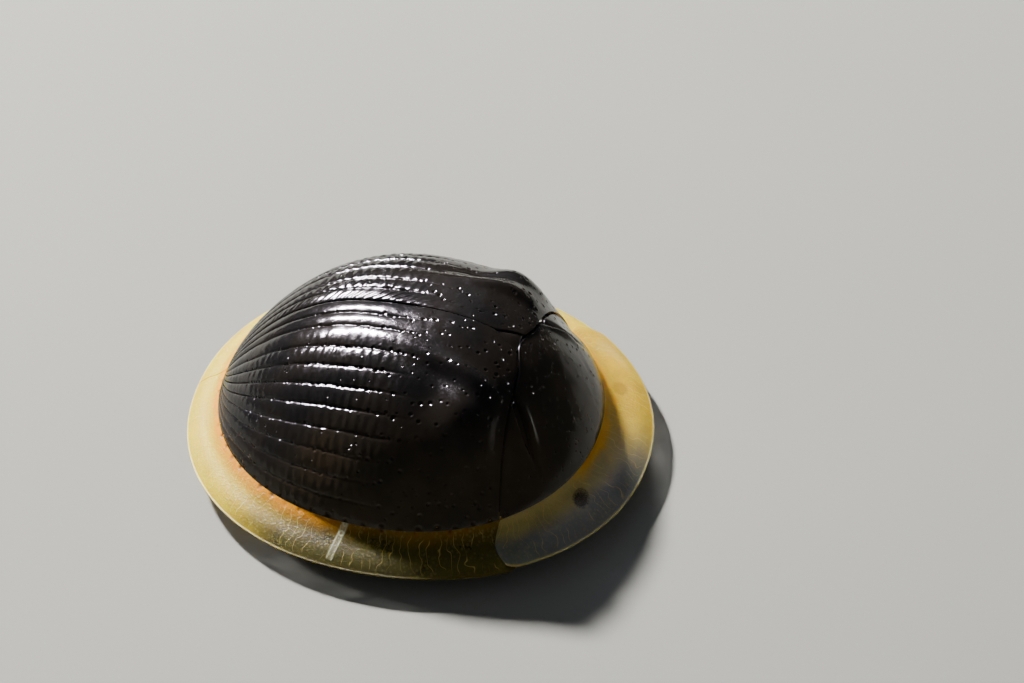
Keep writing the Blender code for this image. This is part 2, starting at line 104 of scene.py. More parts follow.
# The right wing case is smoother beside the seam than the left one
SIDE_SIZES = {
    "left": {"Seed": 11, "Tongue": TONGUE, "Bead height": 0.0055, "Bead start": -0.15},
    "right": {"Seed": 5, "Tongue": -TONGUE, "Bead height": 0.0045, "Bead start": 0.16},
}


class Wire:
    """A node socket that takes part in plain arithmetic, in materials and geometry trees alike."""

    def __init__(self, tree, socket=None):
        self.tree, self.socket = tree, socket

    def node(self, kind, settings=None, inputs=None, output=0):
        """Any node: its settings first, then the values or links of its sockets."""
        made = self.tree.nodes.new(kind)
        for name, value in (settings or {}).items():
            setattr(made, name, value)
        for key, value in (inputs or {}).items():
            if isinstance(value, Wire):
                self.tree.links.new(value.socket, made.inputs[key])
            else:
                made.inputs[key].default_value = value
        return Wire(self.tree, made.outputs[output])

    def sibling(self, output):
        """Another output of the same node."""
        return Wire(self.tree, self.socket.node.outputs[output])

    def pair(self, operation, other, turned=False):
        """One step of arithmetic with another wire or number, which comes first where it is turned."""
        first, second = (other, self) if turned else (self, other)
        sides = [side.socket.type for side in (first, second) if isinstance(side, Wire)]
        if "VECTOR" not in sides:
            return self.node("ShaderNodeMath", {"operation": operation}, {0: first, 1: second})
        both = [side if isinstance(side, (Wire, tuple)) else (side,) * 3 for side in (first, second)]
        return self.node("ShaderNodeVectorMath", {"operation": operation}, {0: both[0], 1: both[1]})

    def one(self, operation):
        return self.node("ShaderNodeMath", {"operation": operation}, {0: self})

    def __abs__(self):
        return self.one("ABSOLUTE")

    __add__, __radd__ = partialmethod(pair, "ADD"), partialmethod(pair, "ADD", turned=True)
    __sub__, __rsub__ = partialmethod(pair, "SUBTRACT"), partialmethod(pair, "SUBTRACT", turned=True)
    __mul__, __rmul__ = partialmethod(pair, "MULTIPLY"), partialmethod(pair, "MULTIPLY", turned=True)
    __pow__, __rpow__ = partialmethod(pair, "POWER"), partialmethod(pair, "POWER", turned=True)
    __truediv__, __lt__ = partialmethod(pair, "DIVIDE"), partialmethod(pair, "LESS_THAN")
    larger, smaller = partialmethod(pair, "MAXIMUM"), partialmethod(pair, "MINIMUM")

    def step(self, low, high):
        """A soft step from 0 at low to 1 at high."""
        ends = {"Value": self, "From Min": low, "From Max": high}
        return self.node("ShaderNodeMapRange", {"interpolation_type": "SMOOTHSTEP"}, ends)

    def blend(self, first, second):
        """Colour between two colours, with this value as the share of the second."""
        sides = [side if isinstance(side, Wire) else (*side, 1.0) for side in (first, second)]
        return self.node("ShaderNodeMix", {"data_type": "RGBA"}, {0: self, 6: sides[0], 7: sides[1]}, 2)

    def noise(self, scale, detail=2.0, roughness=0.5):
        """Cloudy noise over a place."""
        values = {"Vector": self, "Scale": scale, "Detail": detail, "Roughness": roughness}
        return self.node("ShaderNodeTexNoise", None, values)

    def cells(self, scale, feature="F1"):
        """Distance to the nearest cell's centre, or to its edge."""
        return self.node("ShaderNodeTexVoronoi", {"feature": feature}, {"Vector": self, "Scale": scale})

    def random(self, low, high, seed, number=None):
        """A random value for each point, or for each number."""
        ends = {2: low, 3: high, 8: seed}
        if number is not None:
            ends[7] = number
        return self.node("FunctionNodeRandomValue", None, ends, 1)


class Oval:
    """An oval round the widest line, with its own front and rear lengths, on numbers or wires."""

    def __init__(self, side, front, rear):
        self.side, self.front, self.rear = side, front, rear

    def length(self, y):
        return self.rear + (self.front - self.rear) * (y < WIDEST_Y)

    def half_width(self, y):
        share = abs(y - WIDEST_Y) / self.length(y) * 0.999999
        return self.side * (1 - share**ROUNDNESS) ** (1 / ROUNDNESS)

    def reach(self, x, y):
        """0 at the centre, 1 on the outline."""
        along = (abs(y - WIDEST_Y) / self.length(y)) ** ROUNDNESS
        return ((abs(x) / self.side) ** ROUNDNESS + along) ** (1 / ROUNDNESS)


RIM = Oval(RIM_SIDE, RIM_FRONT, RIM_REAR)
DISC = Oval(RIM_SIDE - MARGIN_SIDE, RIM_FRONT - MARGIN_FRONT, RIM_REAR - MARGIN_REAR)


def bell(distance):
    """1 at no distance, falling softly to 0."""
    return math.e ** (-1 * distance * distance)


def seam_y(x):
    """Seam between pronotum and wing cases: a lobe at the middle, then swept forward."""
    lobe = SEAM_LOBE * (1 - bell(x / SEAM_LOBE_WIDTH))
    return SEAM_Y - lobe - SEAM_SWEEP * (abs(x) / SEAM_SWEEP_WIDTH) ** 4


def dome_height(x, y, rise):
    return EDGE_Z + rise * (1 - DISC.reach(x, y) ** DOME_FULLNESS) ** DOME_SHOULDER


def soft_form(x, y, place, size, turn=0.0):
    """A soft round or long swelling, 1 at its place."""
    cosine, sine = math.cos(math.radians(turn)), math.sin(math.radians(turn))
    right, ahead = x - place[0], y - place[1]
    across = (right * cosine + ahead * sine) / size[0]
    along = (ahead * cosine - right * sine) / size[1]
    return math.e ** (-1 * (across * across + along * along))


def new_object(name, data):
    piece = bpy.data.objects.new(name, data)
    bpy.context.scene.collection.objects.link(piece)
    return piece


def new_piece(name, vertices, faces, material=None):
    """An object with a mesh of the given points and faces."""
    mesh = bpy.data.meshes.new(name)
    mesh.from_pydata(vertices, [], faces)
    if material:
        mesh.materials.append(material)
        mesh.shade_smooth()
    return new_object(name, mesh)


def flat_sheet(name, columns, rows, coarse):
    """A closed flat sheet before it is pressed: fine above, one line in every few below."""
    vertices, share, along, inner = [], [], [], []
    faces = []
    grids = []
    for step, level in ((1, 0), (coarse, 1)):
        wide, high = columns // step, rows // step
        first = len(vertices)
        grids.append([[first + j * (wide + 1) + i for i in range(wide + 1)] for j in range(high + 1)])
        for j in range(high + 1):
            for i in range(wide + 1):
                vertices.append((i / wide, j / high, -0.1 * level))
                share.append(i / wide)
                along.append(j / high)
                inner.append(level)
        grid = grids[-1]
        for j in range(high):
            for i in range(wide):
                ring = (grid[j][i], grid[j][i + 1], grid[j + 1][i + 1], grid[j + 1][i])
                faces.append(ring if level == 0 else ring[::-1])

    def border(grid):
        front, rear = grid[0], grid[-1][::-1]
        right = [row[-1] for row in grid]
        left = [row[0] for row in grid][::-1]
        return [front, right, rear, left]

    for above, below in zip(*(border(grid) for grid in grids)):
        for n, (a, b) in enumerate(zip(below, below[1:])):
            faces.append([a, b, *above[n * coarse : (n + 1) * coarse + 1][::-1]])
    piece = new_piece(name, vertices, faces)
    for label, values in (("share", share), ("along", along), ("inner", inner)):
        piece.data.attributes.new(label, "FLOAT", "POINT").data.foreach_set("value", values)
    return piece


def press_tree(name, sizes):
    """An empty geometry tree with named sizes; returns it and a wire for each input."""
    tree = bpy.data.node_groups.new(name, "GeometryNodeTree")
    tree.interface.new_socket("Sheet", in_out="INPUT", socket_type="NodeSocketGeometry")
    for label, value in sizes.items():
        kind = "NodeSocketInt" if isinstance(value, int) else "NodeSocketFloat"
        tree.interface.new_socket(label, in_out="INPUT", socket_type=kind).default_value = value
    tree.interface.new_socket("Piece", in_out="OUTPUT", socket_type="NodeSocketGeometry")
    source = tree.nodes.new("NodeGroupInput")
    return tree, {socket.name: Wire(tree, socket) for socket in source.outputs if socket.name}


def attribute(tree, name):
    return Wire(tree).node("GeometryNodeInputNamedAttribute", {"data_type": "FLOAT"}, {"Name": name})


def store(geometry, name, value):
    entry = {"Geometry": geometry, "Name": name, "Value": value}
    return geometry.node("GeometryNodeStoreNamedAttribute", {"data_type": "FLOAT"}, entry)


def close_tree(tree, geometry, material):
    """Last steps of every geometry tree."""
    made = geometry.node("GeometryNodeRealizeInstances", None, {"Geometry": geometry})
    made = made.node("GeometryNodeSetMaterial", None, {"Geometry": made, "Material": material})
    tree.links.new(made.socket, tree.nodes.new("NodeGroupOutput").inputs[0])


def pressed(sheet, tree, sizes, mirrored=False):
    """Runs a tree on a sheet with its own sizes, and leaves a plain smooth mesh in its place."""
    modifier = sheet.modifiers.new("press", "NODES")
    modifier.node_group = tree
    for item in tree.interface.items_tree:
        if item.in_out == "INPUT" and item.name in sizes:
            modifier[item.identifier] = sizes[item.name]
    graph = bpy.context.evaluated_depsgraph_get()
    mesh = bpy.data.meshes.new_from_object(
        sheet.evaluated_get(graph), preserve_all_data_layers=True, depsgraph=graph
    )
    sheet.modifiers.clear()
    sheet.data = mesh
    if mirrored:
        mesh.transform(Matrix.Diagonal((-1.0, 1.0, 1.0, 1.0)))
        mesh.flip_normals()
    mesh.shade_smooth()
    return sheet


def ride(piece, slot, *nodes):
    """A still piece of the beetle, joined to the root, with the nodes that it stands for, which it hides; the
    slot is not used.
    """
    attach(piece, "root")
    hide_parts(*nodes)


def new_material(name):
    """A material, and a wire for the place on the piece in millimetres."""
    material = bpy.data.materials.new(name)
    material.use_nodes = True
    return material, Wire(material.node_tree).node("ShaderNodeTexCoord", output=3) * TO_MM


def feed(material, values):
    """Sets or links the sockets of the material's own shader."""
    sockets = material.node_tree.nodes["Principled BSDF"].inputs
    for name, value in values.items():
        if isinstance(value, Wire):
            value.tree.links.new(value.socket, sockets[name])
        else:
            sockets[name].default_value = value
    return material


def mark(place, name, output=2):
    """What the mesh carries at a place, such as how deep in a pit it lies."""
    return place.node("ShaderNodeAttribute", {"attribute_name": name}, output=output)


def bumped(height, depth):
    """Normal of a surface that rises by depth, in millimetres, where the height is 1."""
    return height.node("ShaderNodeBump", None, {"Distance": depth * MM, "Height": height})


def split(place):
    """The three coordinates of a place."""
    first = place.node("ShaderNodeSeparateXYZ", None, {0: place})
    return first, first.sibling(1), first.sibling(2)


def black_cuticle():
    material, place = new_material("black_cuticle")
    pit = mark(place, "pit")
    clouds = place.noise(0.9, 3.0)
    grain = place.noise(28.0, 3.0, 0.6)
    wax = place.noise(5.0, 4.0, 0.6).step(0.45, 0.75)
    specks = (1 - place.cells(7.5).step(0.08, 0.17)) * place.noise(1.7, 2.0).step(0.46, 0.56)
    # Painted light and shade: the top and the rear of the dome are painted darker and the low flanks lighter
    # and browner. This offsets the strong light on the top and the shade on the flanks.
    _, y, z = split(place)
    height = (z + 1.2 * y.step(0.4, 2.3)).step(1.4, 2.45)
    darkest_with_painted_light = height.blend((0.026, 0.0215, 0.0155), (0.0080, 0.0078, 0.0085))
    brownest_with_painted_light = height.blend((0.038, 0.0275, 0.0175), (0.0160, 0.0130, 0.0110))
    black = clouds.step(0.35, 0.7).blend(darkest_with_painted_light, brownest_with_painted_light)
    colour = (pit * 0.5).blend(black, (0.026, 0.012, 0.005))
    return feed(material, {
        "Base Color": colour,
        "Roughness": 0.11 + 0.07 * wax + 0.06 * grain.step(0.4, 0.7),
        "Normal": bumped(grain * 0.12 - specks, 0.013),
        "IOR": 1.45,
        "Specular IOR Level": 0.14,
        "Coat Weight": 0.10 * wax,
        "Coat Roughness": 0.08,
        "Coat IOR": 1.35,
    })


def pit_bowls(geometry, rule, place, count, radius, depth, seed):
    """Depth of round pits below the sheet, and how far inside a pit each point lies."""
    maker = Wire(geometry.tree)
    points = maker.node("GeometryNodePoints", None, {"Count": count})
    for label, value in (("share", place[0]), ("along", place[1])):
        points = store(points, label, value)
    points = maker.node("GeometryNodeSetPosition", None, {"Geometry": points, "Position": rule})
    here = maker.node("GeometryNodeInputPosition")
    nearest = maker.node("GeometryNodeSampleNearest", {"domain": "POINT"}, {"Geometry": points})
    sample = {"data_type": "FLOAT_VECTOR", "domain": "POINT"}
    at_nearest = {"Geometry": points, "Value": here, "Index": nearest}
    centre = maker.node("GeometryNodeSampleIndex", sample, at_nearest)
    away = maker.node("ShaderNodeVectorMath", {"operation": "DISTANCE"}, {0: here, 1: centre}, 1)
    chance = maker.random(0.60, 1.20, seed, nearest)
    reach = away / (radius * chance * MM)
    inside = 1 - reach.step(0.0, 1.0)
    lip = bell((reach - 1.2) / 0.35)
    return (lip * 0.10 - inside) * depth * chance, inside


def laid(sheet, corner):
    """Lays every point of a flat sheet on its own corner; returns that place too."""
    rule = sheet.node("ShaderNodeCombineXYZ", None, corner) * MM
    return sheet.node("GeometryNodeSetPosition", None, {"Geometry": sheet, "Position": rule}), rule


def raised(tree, geometry, height, inside, inner, material):
    """Last steps of a sheet: moves it out by the height, marks its pits and closes its border."""
    offset = geometry.node("GeometryNodeInputNormal") * (height * MM)
    geometry = geometry.node("GeometryNodeSetPosition", None, {"Geometry": geometry, "Offset": offset})
    geometry = store(geometry, "pit", inside * (1 - inner))
    near = {"Geometry": geometry, "Distance": MERGE_DISTANCE * MM}
    close_tree(tree, geometry.node("GeometryNodeMergeByDistance", None, near), material)


def elytron_tree(material):
    """Lays a sheet on the dome's left half and presses the ribs, pits and forms into it."""
    sizes = {"Dome rise": DOME_RISE, "Ribs": RIBS, "Rib height": RIB_HEIGHT, "Pits in a row": PITS_PER_ROW,
             "Pit radius": 0.034, "Pit depth": 0.021, "Wrinkle": 0.005, **SIDE_SIZES["left"]}
    tree, size = press_tree("elytron_press", sizes)
    share, along, inner = (attribute(tree, name) for name in ("share", "along", "inner"))
    fan = (share * RIB_FAN).one("SINE") / math.sin(RIB_FAN)
    y = share * 0 + SEAM_Y
    for _ in range(3):
        x = fan * DISC.half_width(y)
        notch = (1 - x / (SCUTELLUM_WIDTH / 2)).larger(0.0)
        y = seam_y(x) + SEAM_GAP + SCUTELLUM_LENGTH * notch
    start = ((y - WIDEST_Y) / DISC.front).one("ARCSINE")
    angle = start + (math.pi / 2 - start) * along
    y = WIDEST_Y + (DISC.rear + (DISC.front - DISC.rear) * (angle < 0)) * angle.one("SINE")
    x = fan * DISC.half_width(y)
    kept = 1 - inner * SHEET_INSET
    geometry, rule = laid(size["Sheet"], {
        "X": x * kept + SUTURE_GAP - size["Tongue"] * inner,
        "Y": WIDEST_Y + (y - WIDEST_Y) * kept,
        "Z": dome_height(x, y, size["Dome rise"]) * kept,
    })

    total = size["Ribs"] * size["Pits in a row"]
    index = share.node("GeometryNodeInputIndex")
    row = (index / size["Pits in a row"]).one("FLOOR")
    column = index - row * size["Pits in a row"]
    edge_row = 1 - (row < RIBS - 1.5)
    column = column - edge_row * (column - (column / 2).one("FLOOR") * 2)
    drift = share.random(-1.0, 1.0, size["Seed"])
    sway = share.random(-1.0, 1.0, size["Seed"] + 1)
    pit_along = (column + 0.5 + 0.42 * drift * (1 - edge_row)) / size["Pits in a row"] * 0.96 + 0.012
    loose = 0.07 + 0.36 * (1 - (pit_along / 0.40).step(0.3, 1.0))
    past = (row + 1) / size["Ribs"] - RIB_SHIFT_AT - RIB_SHIFT / RIBS / 2
    lag = RIB_SHIFT * bell(past / RIB_SHIFT_WIDTH)
    pit_share = (row + 1.0 - lag + loose * sway * (1 - edge_row) - 0.12 * edge_row) / size["Ribs"]
    coarse_edge = 1 + 0.75 * share.step(0.950, 0.965)
    shallow = size["Pit depth"] * (1 - 0.65 * along.step(0.35, 0.8)) * coarse_edge
    small = size["Pit radius"] * (1 - 0.42 * along.step(0.30, 0.8)) * coarse_edge
    bowls, inside = pit_bowls(geometry, rule, (pit_share, pit_along), total, small, shallow, size["Seed"] + 2)

    place = share.node("GeometryNodeInputPosition") * TO_MM
    wobble = (place.noise(2.4, 3.0) - 0.5) * 0.05
    shift = RIB_SHIFT * bell((share - RIB_SHIFT_AT) / RIB_SHIFT_WIDTH)
    rib = (share + wobble * 0.30) * size["Ribs"] + shift
    furrow = (rib * math.pi).one("SINE")
    crest = (furrow * furrow + 0.002) ** 0.23 - 0.35 * bell(furrow / 0.16)
    beads = ((along + (place.noise(5.0) - 0.5) * 0.02) * math.tau * size["Pits in a row"]).one("SINE")
    fade = (y + 0.45).step(0.0, 1.1) * along.step(1.0, 0.90)
    fade = fade * (1 - 0.50 * share.step(0.42, 0.80))
    wrinkle = place.noise(7.0, 3.0, 0.6) - 0.5
    waves = place.noise(1.6, 2.0) - 0.5
    forms = sum(tall * soft_form(x, y, *form) for tall, *form in SHOULDER_FORMS)
    forms = forms * along.step(0.0, 0.05)
    breaks = 1 + 0.7 * (place.noise(3.4, 2.0) - 0.5)
    beads = beads * crest * share.step(size["Bead start"], size["Bead start"] + 0.14)
    beading = size["Bead height"] * beads * (1 - 0.85 * along.step(0.40, 0.72))
    ribbing = (size["Rib height"] * (crest - 0.80) * breaks + beading) * fade
    rounding = 0.006 * (1 - along.step(0.0, 0.007)) + 0.006 * (1 - share.step(0.0, 0.009))
    height = ribbing + forms + bowls + size["Wrinkle"] * wrinkle + 0.020 * waves - rounding
    height = height * (1 - inner) * share.step(1.0, 0.985)
    raised(tree, geometry, height, inside, inner, material)
    return tree


cuticle = black_cuticle()
elytron_rule = elytron_tree(cuticle)
for side, own in SIDE_SIZES.items():
    sheet = flat_sheet(f"elytron_{side}_dome", columns=240, rows=380, coarse=10)
    pressed(sheet, elytron_rule, own, mirrored=side == "right")
    sheet.data.set_sharp_from_angle(angle=SHEET_CREASE)
    ride(sheet, "shell_black", "elytron_" + side)


# Pronotum
# The shield over the head and thorax: the same black cuticle, smoother and a little lower than the
# wing cases, with a curved groove near each side, fine scattered pits and a rear edge tucked below them.
PRONOTUM_STEP = 0.024
TUCK_SHARE, TUCK_LENGTH, TUCK_DROP = 0.08, 0.30, 0.20
# A low lip, the curved groove behind it and a hollow farther out: height, place, half size, turn
PRONOTUM_FORMS = (
    (0.045, (1.06, -1.94), (0.06, 0.22), 48.0),
    (-0.180, (1.09, -1.83), (0.042, 0.28), 48.0),
    (-0.03, (1.62, -1.86), (0.30, 0.12), 0.0),
)


def pronotum_corner():
    """Half width where the seam meets the disc's outline."""
    x = SEAM_SWEEP_WIDTH
    for _ in range(20):
        x = DISC.half_width(seam_y(x) - SEAM_GAP)
    return x


def pronotum_tree(material):
    """Lays a sheet on the front of the dome, with pits and grooves and its rear edge tucked in."""
    sizes = {"Dome rise": DOME_RISE, "Pits": 150, "Pit radius": 0.026, "Pit depth": 0.013,
             "Wrinkle": 0.005, "Seed": 8}
    tree, size = press_tree("pronotum_press", sizes)
    share, reach, inner = (attribute(tree, name) for name in ("share", "along", "inner"))
    tuck = (reach - (1 - TUCK_SHARE)).larger(0.0) / TUCK_SHARE
    along = (reach / (1 - TUCK_SHARE)).smaller(1.0)
    x = (share * 2 - 1) * pronotum_corner()
    front = WIDEST_Y - DISC.front * (1 - (abs(x) / DISC.side) ** ROUNDNESS) ** (1 / ROUNDNESS)
    y = front + (seam_y(x) - SEAM_GAP - front) * along
    kept = 1 - inner * SHEET_INSET
    ahead = WIDEST_Y + (y - WIDEST_Y) * (1 - inner * SHEET_INSET * (1 - along)) + tuck * TUCK_LENGTH
    down = TUCK_DROP * tuck**0.35 * (1 - 0.5 * abs(share * 2 - 1) ** 6)
    z = dome_height(x, y, size["Dome rise"]) * kept - down
    geometry, rule = laid(size["Sheet"], {"X": x * kept * (1 - 0.03 * tuck), "Y": ahead, "Z": z})
    spots = [share.random(0.02, 0.92, size["Seed"] + n) for n in (0, 1)]
    pits = [size[label] for label in ("Pits", "Pit radius", "Pit depth", "Seed")]
    bowls, inside = pit_bowls(geometry, rule, spots, *pits)
    place = share.node("GeometryNodeInputPosition") * TO_MM
    forms = sum(tall * soft_form(abs(x), y, *form) for tall, *form in PRONOTUM_FORMS)
    bead = 1 - (1 - along).step(0.0, 0.030)
    uneven = size["Wrinkle"] * (place.noise(6.0, 3.0) - 0.5) + 0.03 * (place.noise(1.4) - 0.5)
    height = forms - PRONOTUM_STEP * along.step(0.0, 0.5) + bowls + uneven
    height = (height - 0.008 * bead) * (1 - inner) * along.step(0.0, 0.04)
    raised(tree, geometry, height, inside, inner, material)
    return tree


sheet = flat_sheet("pronotum_dome", columns=360, rows=160, coarse=10)
pressed(sheet, pronotum_tree(cuticle), {}).data.set_sharp_from_angle(angle=SHEET_CREASE)
ride(sheet, "shell_black", "pronotum")


# Brim
# The explanate margins of the wing cases and the pronotum: the same sheet of cuticle, but clear and
# amber, thinned out to a rounded rim close above the floor.  Fine veins run through it, and the
# pronotum's rounded hind corners lie over the wing cases' brim.
RIM_Z = 0.37
BRIM_THICK, BRIM_THIN = 0.085, 0.026
BRIM_TUCK, BRIM_LAP, LAP_DROP = 0.16, 0.12, 0.06
BRIM_CREASE = math.radians(50)
CORNER_BULGE = (0.06, 0.10)
CORNER_TURN, CORNER_FADE, CORNER_LIFT = 5.4, 0.14, 0.035
SHOULDER_TURN, SHOULDER_FADE = 4.8, 0.10
ELYTRON_RUN, ELYTRON_CORNER = 6.0, 0.20
PRONOTUM_RUN, PRONOTUM_CORNER = 2.9, 0.16
EYE_WINDOW, EYE_WINDOW_HALF = (1.27, -2.785), (0.16, 0.115)
FOOT_PIT_STEP, VEIN_STEP = 0.30, 0.15
SCAR_START, SCAR_END, SCAR_WIDTH = (-2.80, 0.36), (-3.32, 0.50), 0.042


def scar(x, y):
    """1 along the pale healed scratch across the right brim, which has raised edges and two rings."""
    run = Vector(SCAR_END) - Vector(SCAR_START)
    ahead = ((x - SCAR_START[0]) * run.x + (y - SCAR_START[1]) * run.y) / run.length_squared
    aside = ((x - SCAR_START[0]) * run.y - (y - SCAR_START[1]) * run.x) / run.length
    plate = 0.40 * (1 - abs(aside).step(SCAR_WIDTH * 0.8, SCAR_WIDTH * 1.2))
    edges = 0.60 * bell((abs(aside) - SCAR_WIDTH) / 0.014)
    healed = plate + edges
    for place, radius in ((0.13, 0.020), (0.34, 0.030)):
        away = (((ahead - place) * run.length) ** 2 + aside * aside) ** 0.5
        healed = healed + 0.9 * bell((away - radius) / 0.010)
    return healed.smaller(1.0) * ahead.step(-0.05, 0.02) * ahead.step(1.04, 0.97)


def clear_cuticle(name, tones, clearness, shade_patchiness, foot):
    """Clear cuticle, with its tones, how clear it is, how patchy its painted shade is and the pits at the
    dome's foot.

    The tones are those of the band, the left side, the right side within and without, and the edge.
    The two right-side tones are painted shade where the dome's shadow falls on the near side. The
    pronotum's outer one is also a painted blue-grey sky reflection.
    """
    material, place = new_material(name)
    band_tone, left_tone, painted_shade_inner_tone, painted_shade_outer_tone, edge_tone = tones
    across = mark(place, "across")
    lie = mark(place, "lie", 1)
    x, y, _ = split(place)
    clouds = place.noise(1.9, 3.0, 0.6)
    run, _, _ = split(lie)
    phase = run / VEIN_STEP + (place.noise(3.6, 1.5, 0.5) - 0.5) * 2.6
    veins = (1 - abs(phase.one("FRACT") - 0.5).step(0.0, 0.055)) * place.noise(2.1, 2.0).step(0.42, 0.54)
    veins = veins * across.step(0.04, 0.16) * across.step(0.98, 0.86)
    fine = 1 - lie.cells(17.0, "DISTANCE_TO_EDGE").step(0.0, 0.10)
    flecks = (1 - place.cells(17.0).step(0.15, 0.50)) * (clouds + 0.1).step(0.45, 0.65)
    pit_run = (run / FOOT_PIT_STEP).one("FRACT") - 0.5
    foot_pits = bell(pit_run * FOOT_PIT_STEP / 0.045) * bell((across - 0.02) / 0.06)
    foot_pits = foot_pits * place.noise(2.2, 2.0).step(0.40, 0.60) * foot
    grain = place.noise(30.0, 3.0, 0.6)
    # Painted shade: the near mask covers the beetle's right side towards the front, which lies in the dome's
    # shadow. There the brim is painted in darker tones, patchy and stronger towards the rim.
    near = (0.6 - x).step(-0.6, 1.6) * (3.0 - y).step(0.2, 2.4)
    painted_shade = (across.step(0.15, 0.85) + (clouds - 0.5) * shade_patchiness) * near
    body = painted_shade.step(0.0, 0.9).blend(near.blend(left_tone, painted_shade_inner_tone), painted_shade_outer_tone)
    # The orange band at the dome's foot is faint all round. It is painted strong at the rear and on the front
    # away from the near side, where sunlight shines through the brim. It is partly the cuticle's own colour
    # and partly a painted glow.
    front = (1 - y.step(-2.2, -1.2)) * x.step(-1.3, -0.5) * (1 - 0.6 * x.step(1.2, 2.2))
    glow = 1 - (across + (clouds - 0.5) * 0.30).step(0.02, 0.40 - 0.15 * front)
    band = glow * (0.12 + 0.88 * y.step(0.0, 1.5) + front)
    banded = (band + foot_pits * 0.3).blend(body, band_tone)
    spotted = (foot_pits * 0.85 + fine * 0.10).blend(banded, (0.050, 0.022, 0.006))
    flecked = (flecks * 0.20).blend(spotted, (0.60, 0.50, 0.20))
    veined = (veins * 0.55).blend(flecked, (0.85, 0.66, 0.20))
    healed = scar(x, y)
    pale = (healed * 0.85).blend(veined, (0.62, 0.62, 0.42))
    # The pale rim line takes the darker right-side tone on the near side, which is painted shade there.
    edged = across.step(0.980, 0.998).blend(pale, near.blend(edge_tone, painted_shade_inner_tone))
    # Painted darkness: the brim is painted dark over each eye, more on the right side, to stand for the eye
    # seen through it. On the right it is also partly cleared.
    right = (abs(x) - EYE_WINDOW[0]) / EYE_WINDOW_HALF[0]
    ahead = (y - EYE_WINDOW[1]) / EYE_WINDOW_HALF[1]
    painted_eye_spot_and_window = 1 - (right * right + ahead * ahead + (grain + clouds - 1) * 1.4).step(0.45, 1.5)
    looked_through = painted_eye_spot_and_window * (1 - x.step(-0.1, 0.1))
    opaque = 1 - clearness + 0.30 * (1 - across.step(-0.02, 0.25)) + 0.25 * across.step(0.95, 1.0)
    opaque = opaque - 0.14 * clouds.step(0.35, 0.7) + 0.2 * veins + 0.3 * healed + 0.3 * foot_pits
    relief = grain + veins * 0.45 + fine * 0.4 + flecks * 0.5 + healed * 1.5 - foot_pits * 4
    return feed(material, {
        "Base Color": (painted_eye_spot_and_window * (0.7 - 0.35 * x.step(-0.1, 0.1))).blend(edged, (0.020, 0.013, 0.008)),
        "Roughness": 0.32 + 0.20 * grain,
        "Alpha": opaque * (1 - 0.55 * looked_through),
        "Normal": bumped(relief, 0.0040),
        "IOR": 1.5,
        "Specular IOR Level": 0.05,
        "Subsurface Weight": 0.35,
        "Subsurface Radius": (1.0, 0.62, 0.14),
        "Subsurface Scale": 0.14 * MM,
        "Coat Weight": 0.01,
        "Coat Roughness": 0.10,
    })


def brim(name, columns, path, slopes, material):
    """A clear strip between the dome's edge and the rim, closed all round.

    The path gives the inner and the outer end of the strip at each share of its length, the drift
    that bows it and how far it is lifted.  The section is a thin plate with a rounded rim.
    """
    top = np.linspace(-BRIM_TUCK, 1.0, slopes)
    nose = np.linspace(80, -80, 7)
    section = [(a, 0.0, 0.0) for a in top]
    section += [(1.0, math.cos(math.radians(n)), (1 - math.sin(math.radians(n))) / 2) for n in nose]
    section += [(a, 0.0, 1.0) for a in top[::-1]]
    vertices, across, lie, travelled = [], [], [], 0.0
    last = None
    for n in range(columns + 1):
        inner, outer, drift, lift = path(n / columns)
        if last is not None:
            travelled += (outer - last).length
        last = outer
        out = (outer - inner).normalized()
        for a, bulge, depth in section:
            spot = inner.lerp(outer, a)
            spot = spot + drift * max(0.0, a) * (1 - max(0.0, a) ** 3) * 2
            thick = BRIM_THICK + (BRIM_THIN - BRIM_THICK) * max(0.0, a)
            spot = spot + out * (thick / 2 * bulge)
            fall = a + 0.05 * math.sin(2 * math.pi * max(0.0, a))
            z = EDGE_Z + (RIM_Z - EDGE_Z) * fall - thick * depth + lift * min(1.0, max(0.0, 3 * a))
            vertices.append((spot.x * MM, spot.y * MM, z * MM))
            across.append(a)
            lie.append((travelled, a * (outer - inner).length, 0.0))
    count = len(section)
    faces = []
    for n in range(columns):
        for k in range(count):
            after = (k + 1) % count
            faces.append((n * count + k, n * count + after, (n + 1) * count + after, (n + 1) * count + k))
    faces.append(list(range(count))[::-1])
    faces.append([columns * count + k for k in range(count)])
    piece = new_piece(name, vertices, faces, material)
    mesh = piece.data
    mesh.attributes.new("across", "FLOAT", "POINT").data.foreach_set("value", across)
    mesh.attributes.new("lie", "FLOAT_VECTOR", "POINT").data.foreach_set("vector", np.ravel(lie))
    mesh.set_sharp_from_angle(angle=BRIM_CREASE)
    return piece


def oval_point(oval, angle):
    y = WIDEST_Y + (oval.front if angle < 0 else oval.rear) * math.sin(angle)
    return Vector((oval.half_width(y), y))


def oval_angle(oval, y):
    return math.asin((y - WIDEST_Y) / (oval.front if y < WIDEST_Y else oval.rear))


def corner_in(away, radius):
    """How far a rounded corner draws the rim in, at a distance along the rim from its end."""
    if away >= radius:
        return 0.0
    return radius - math.sqrt(radius**2 - (radius - away) ** 2)


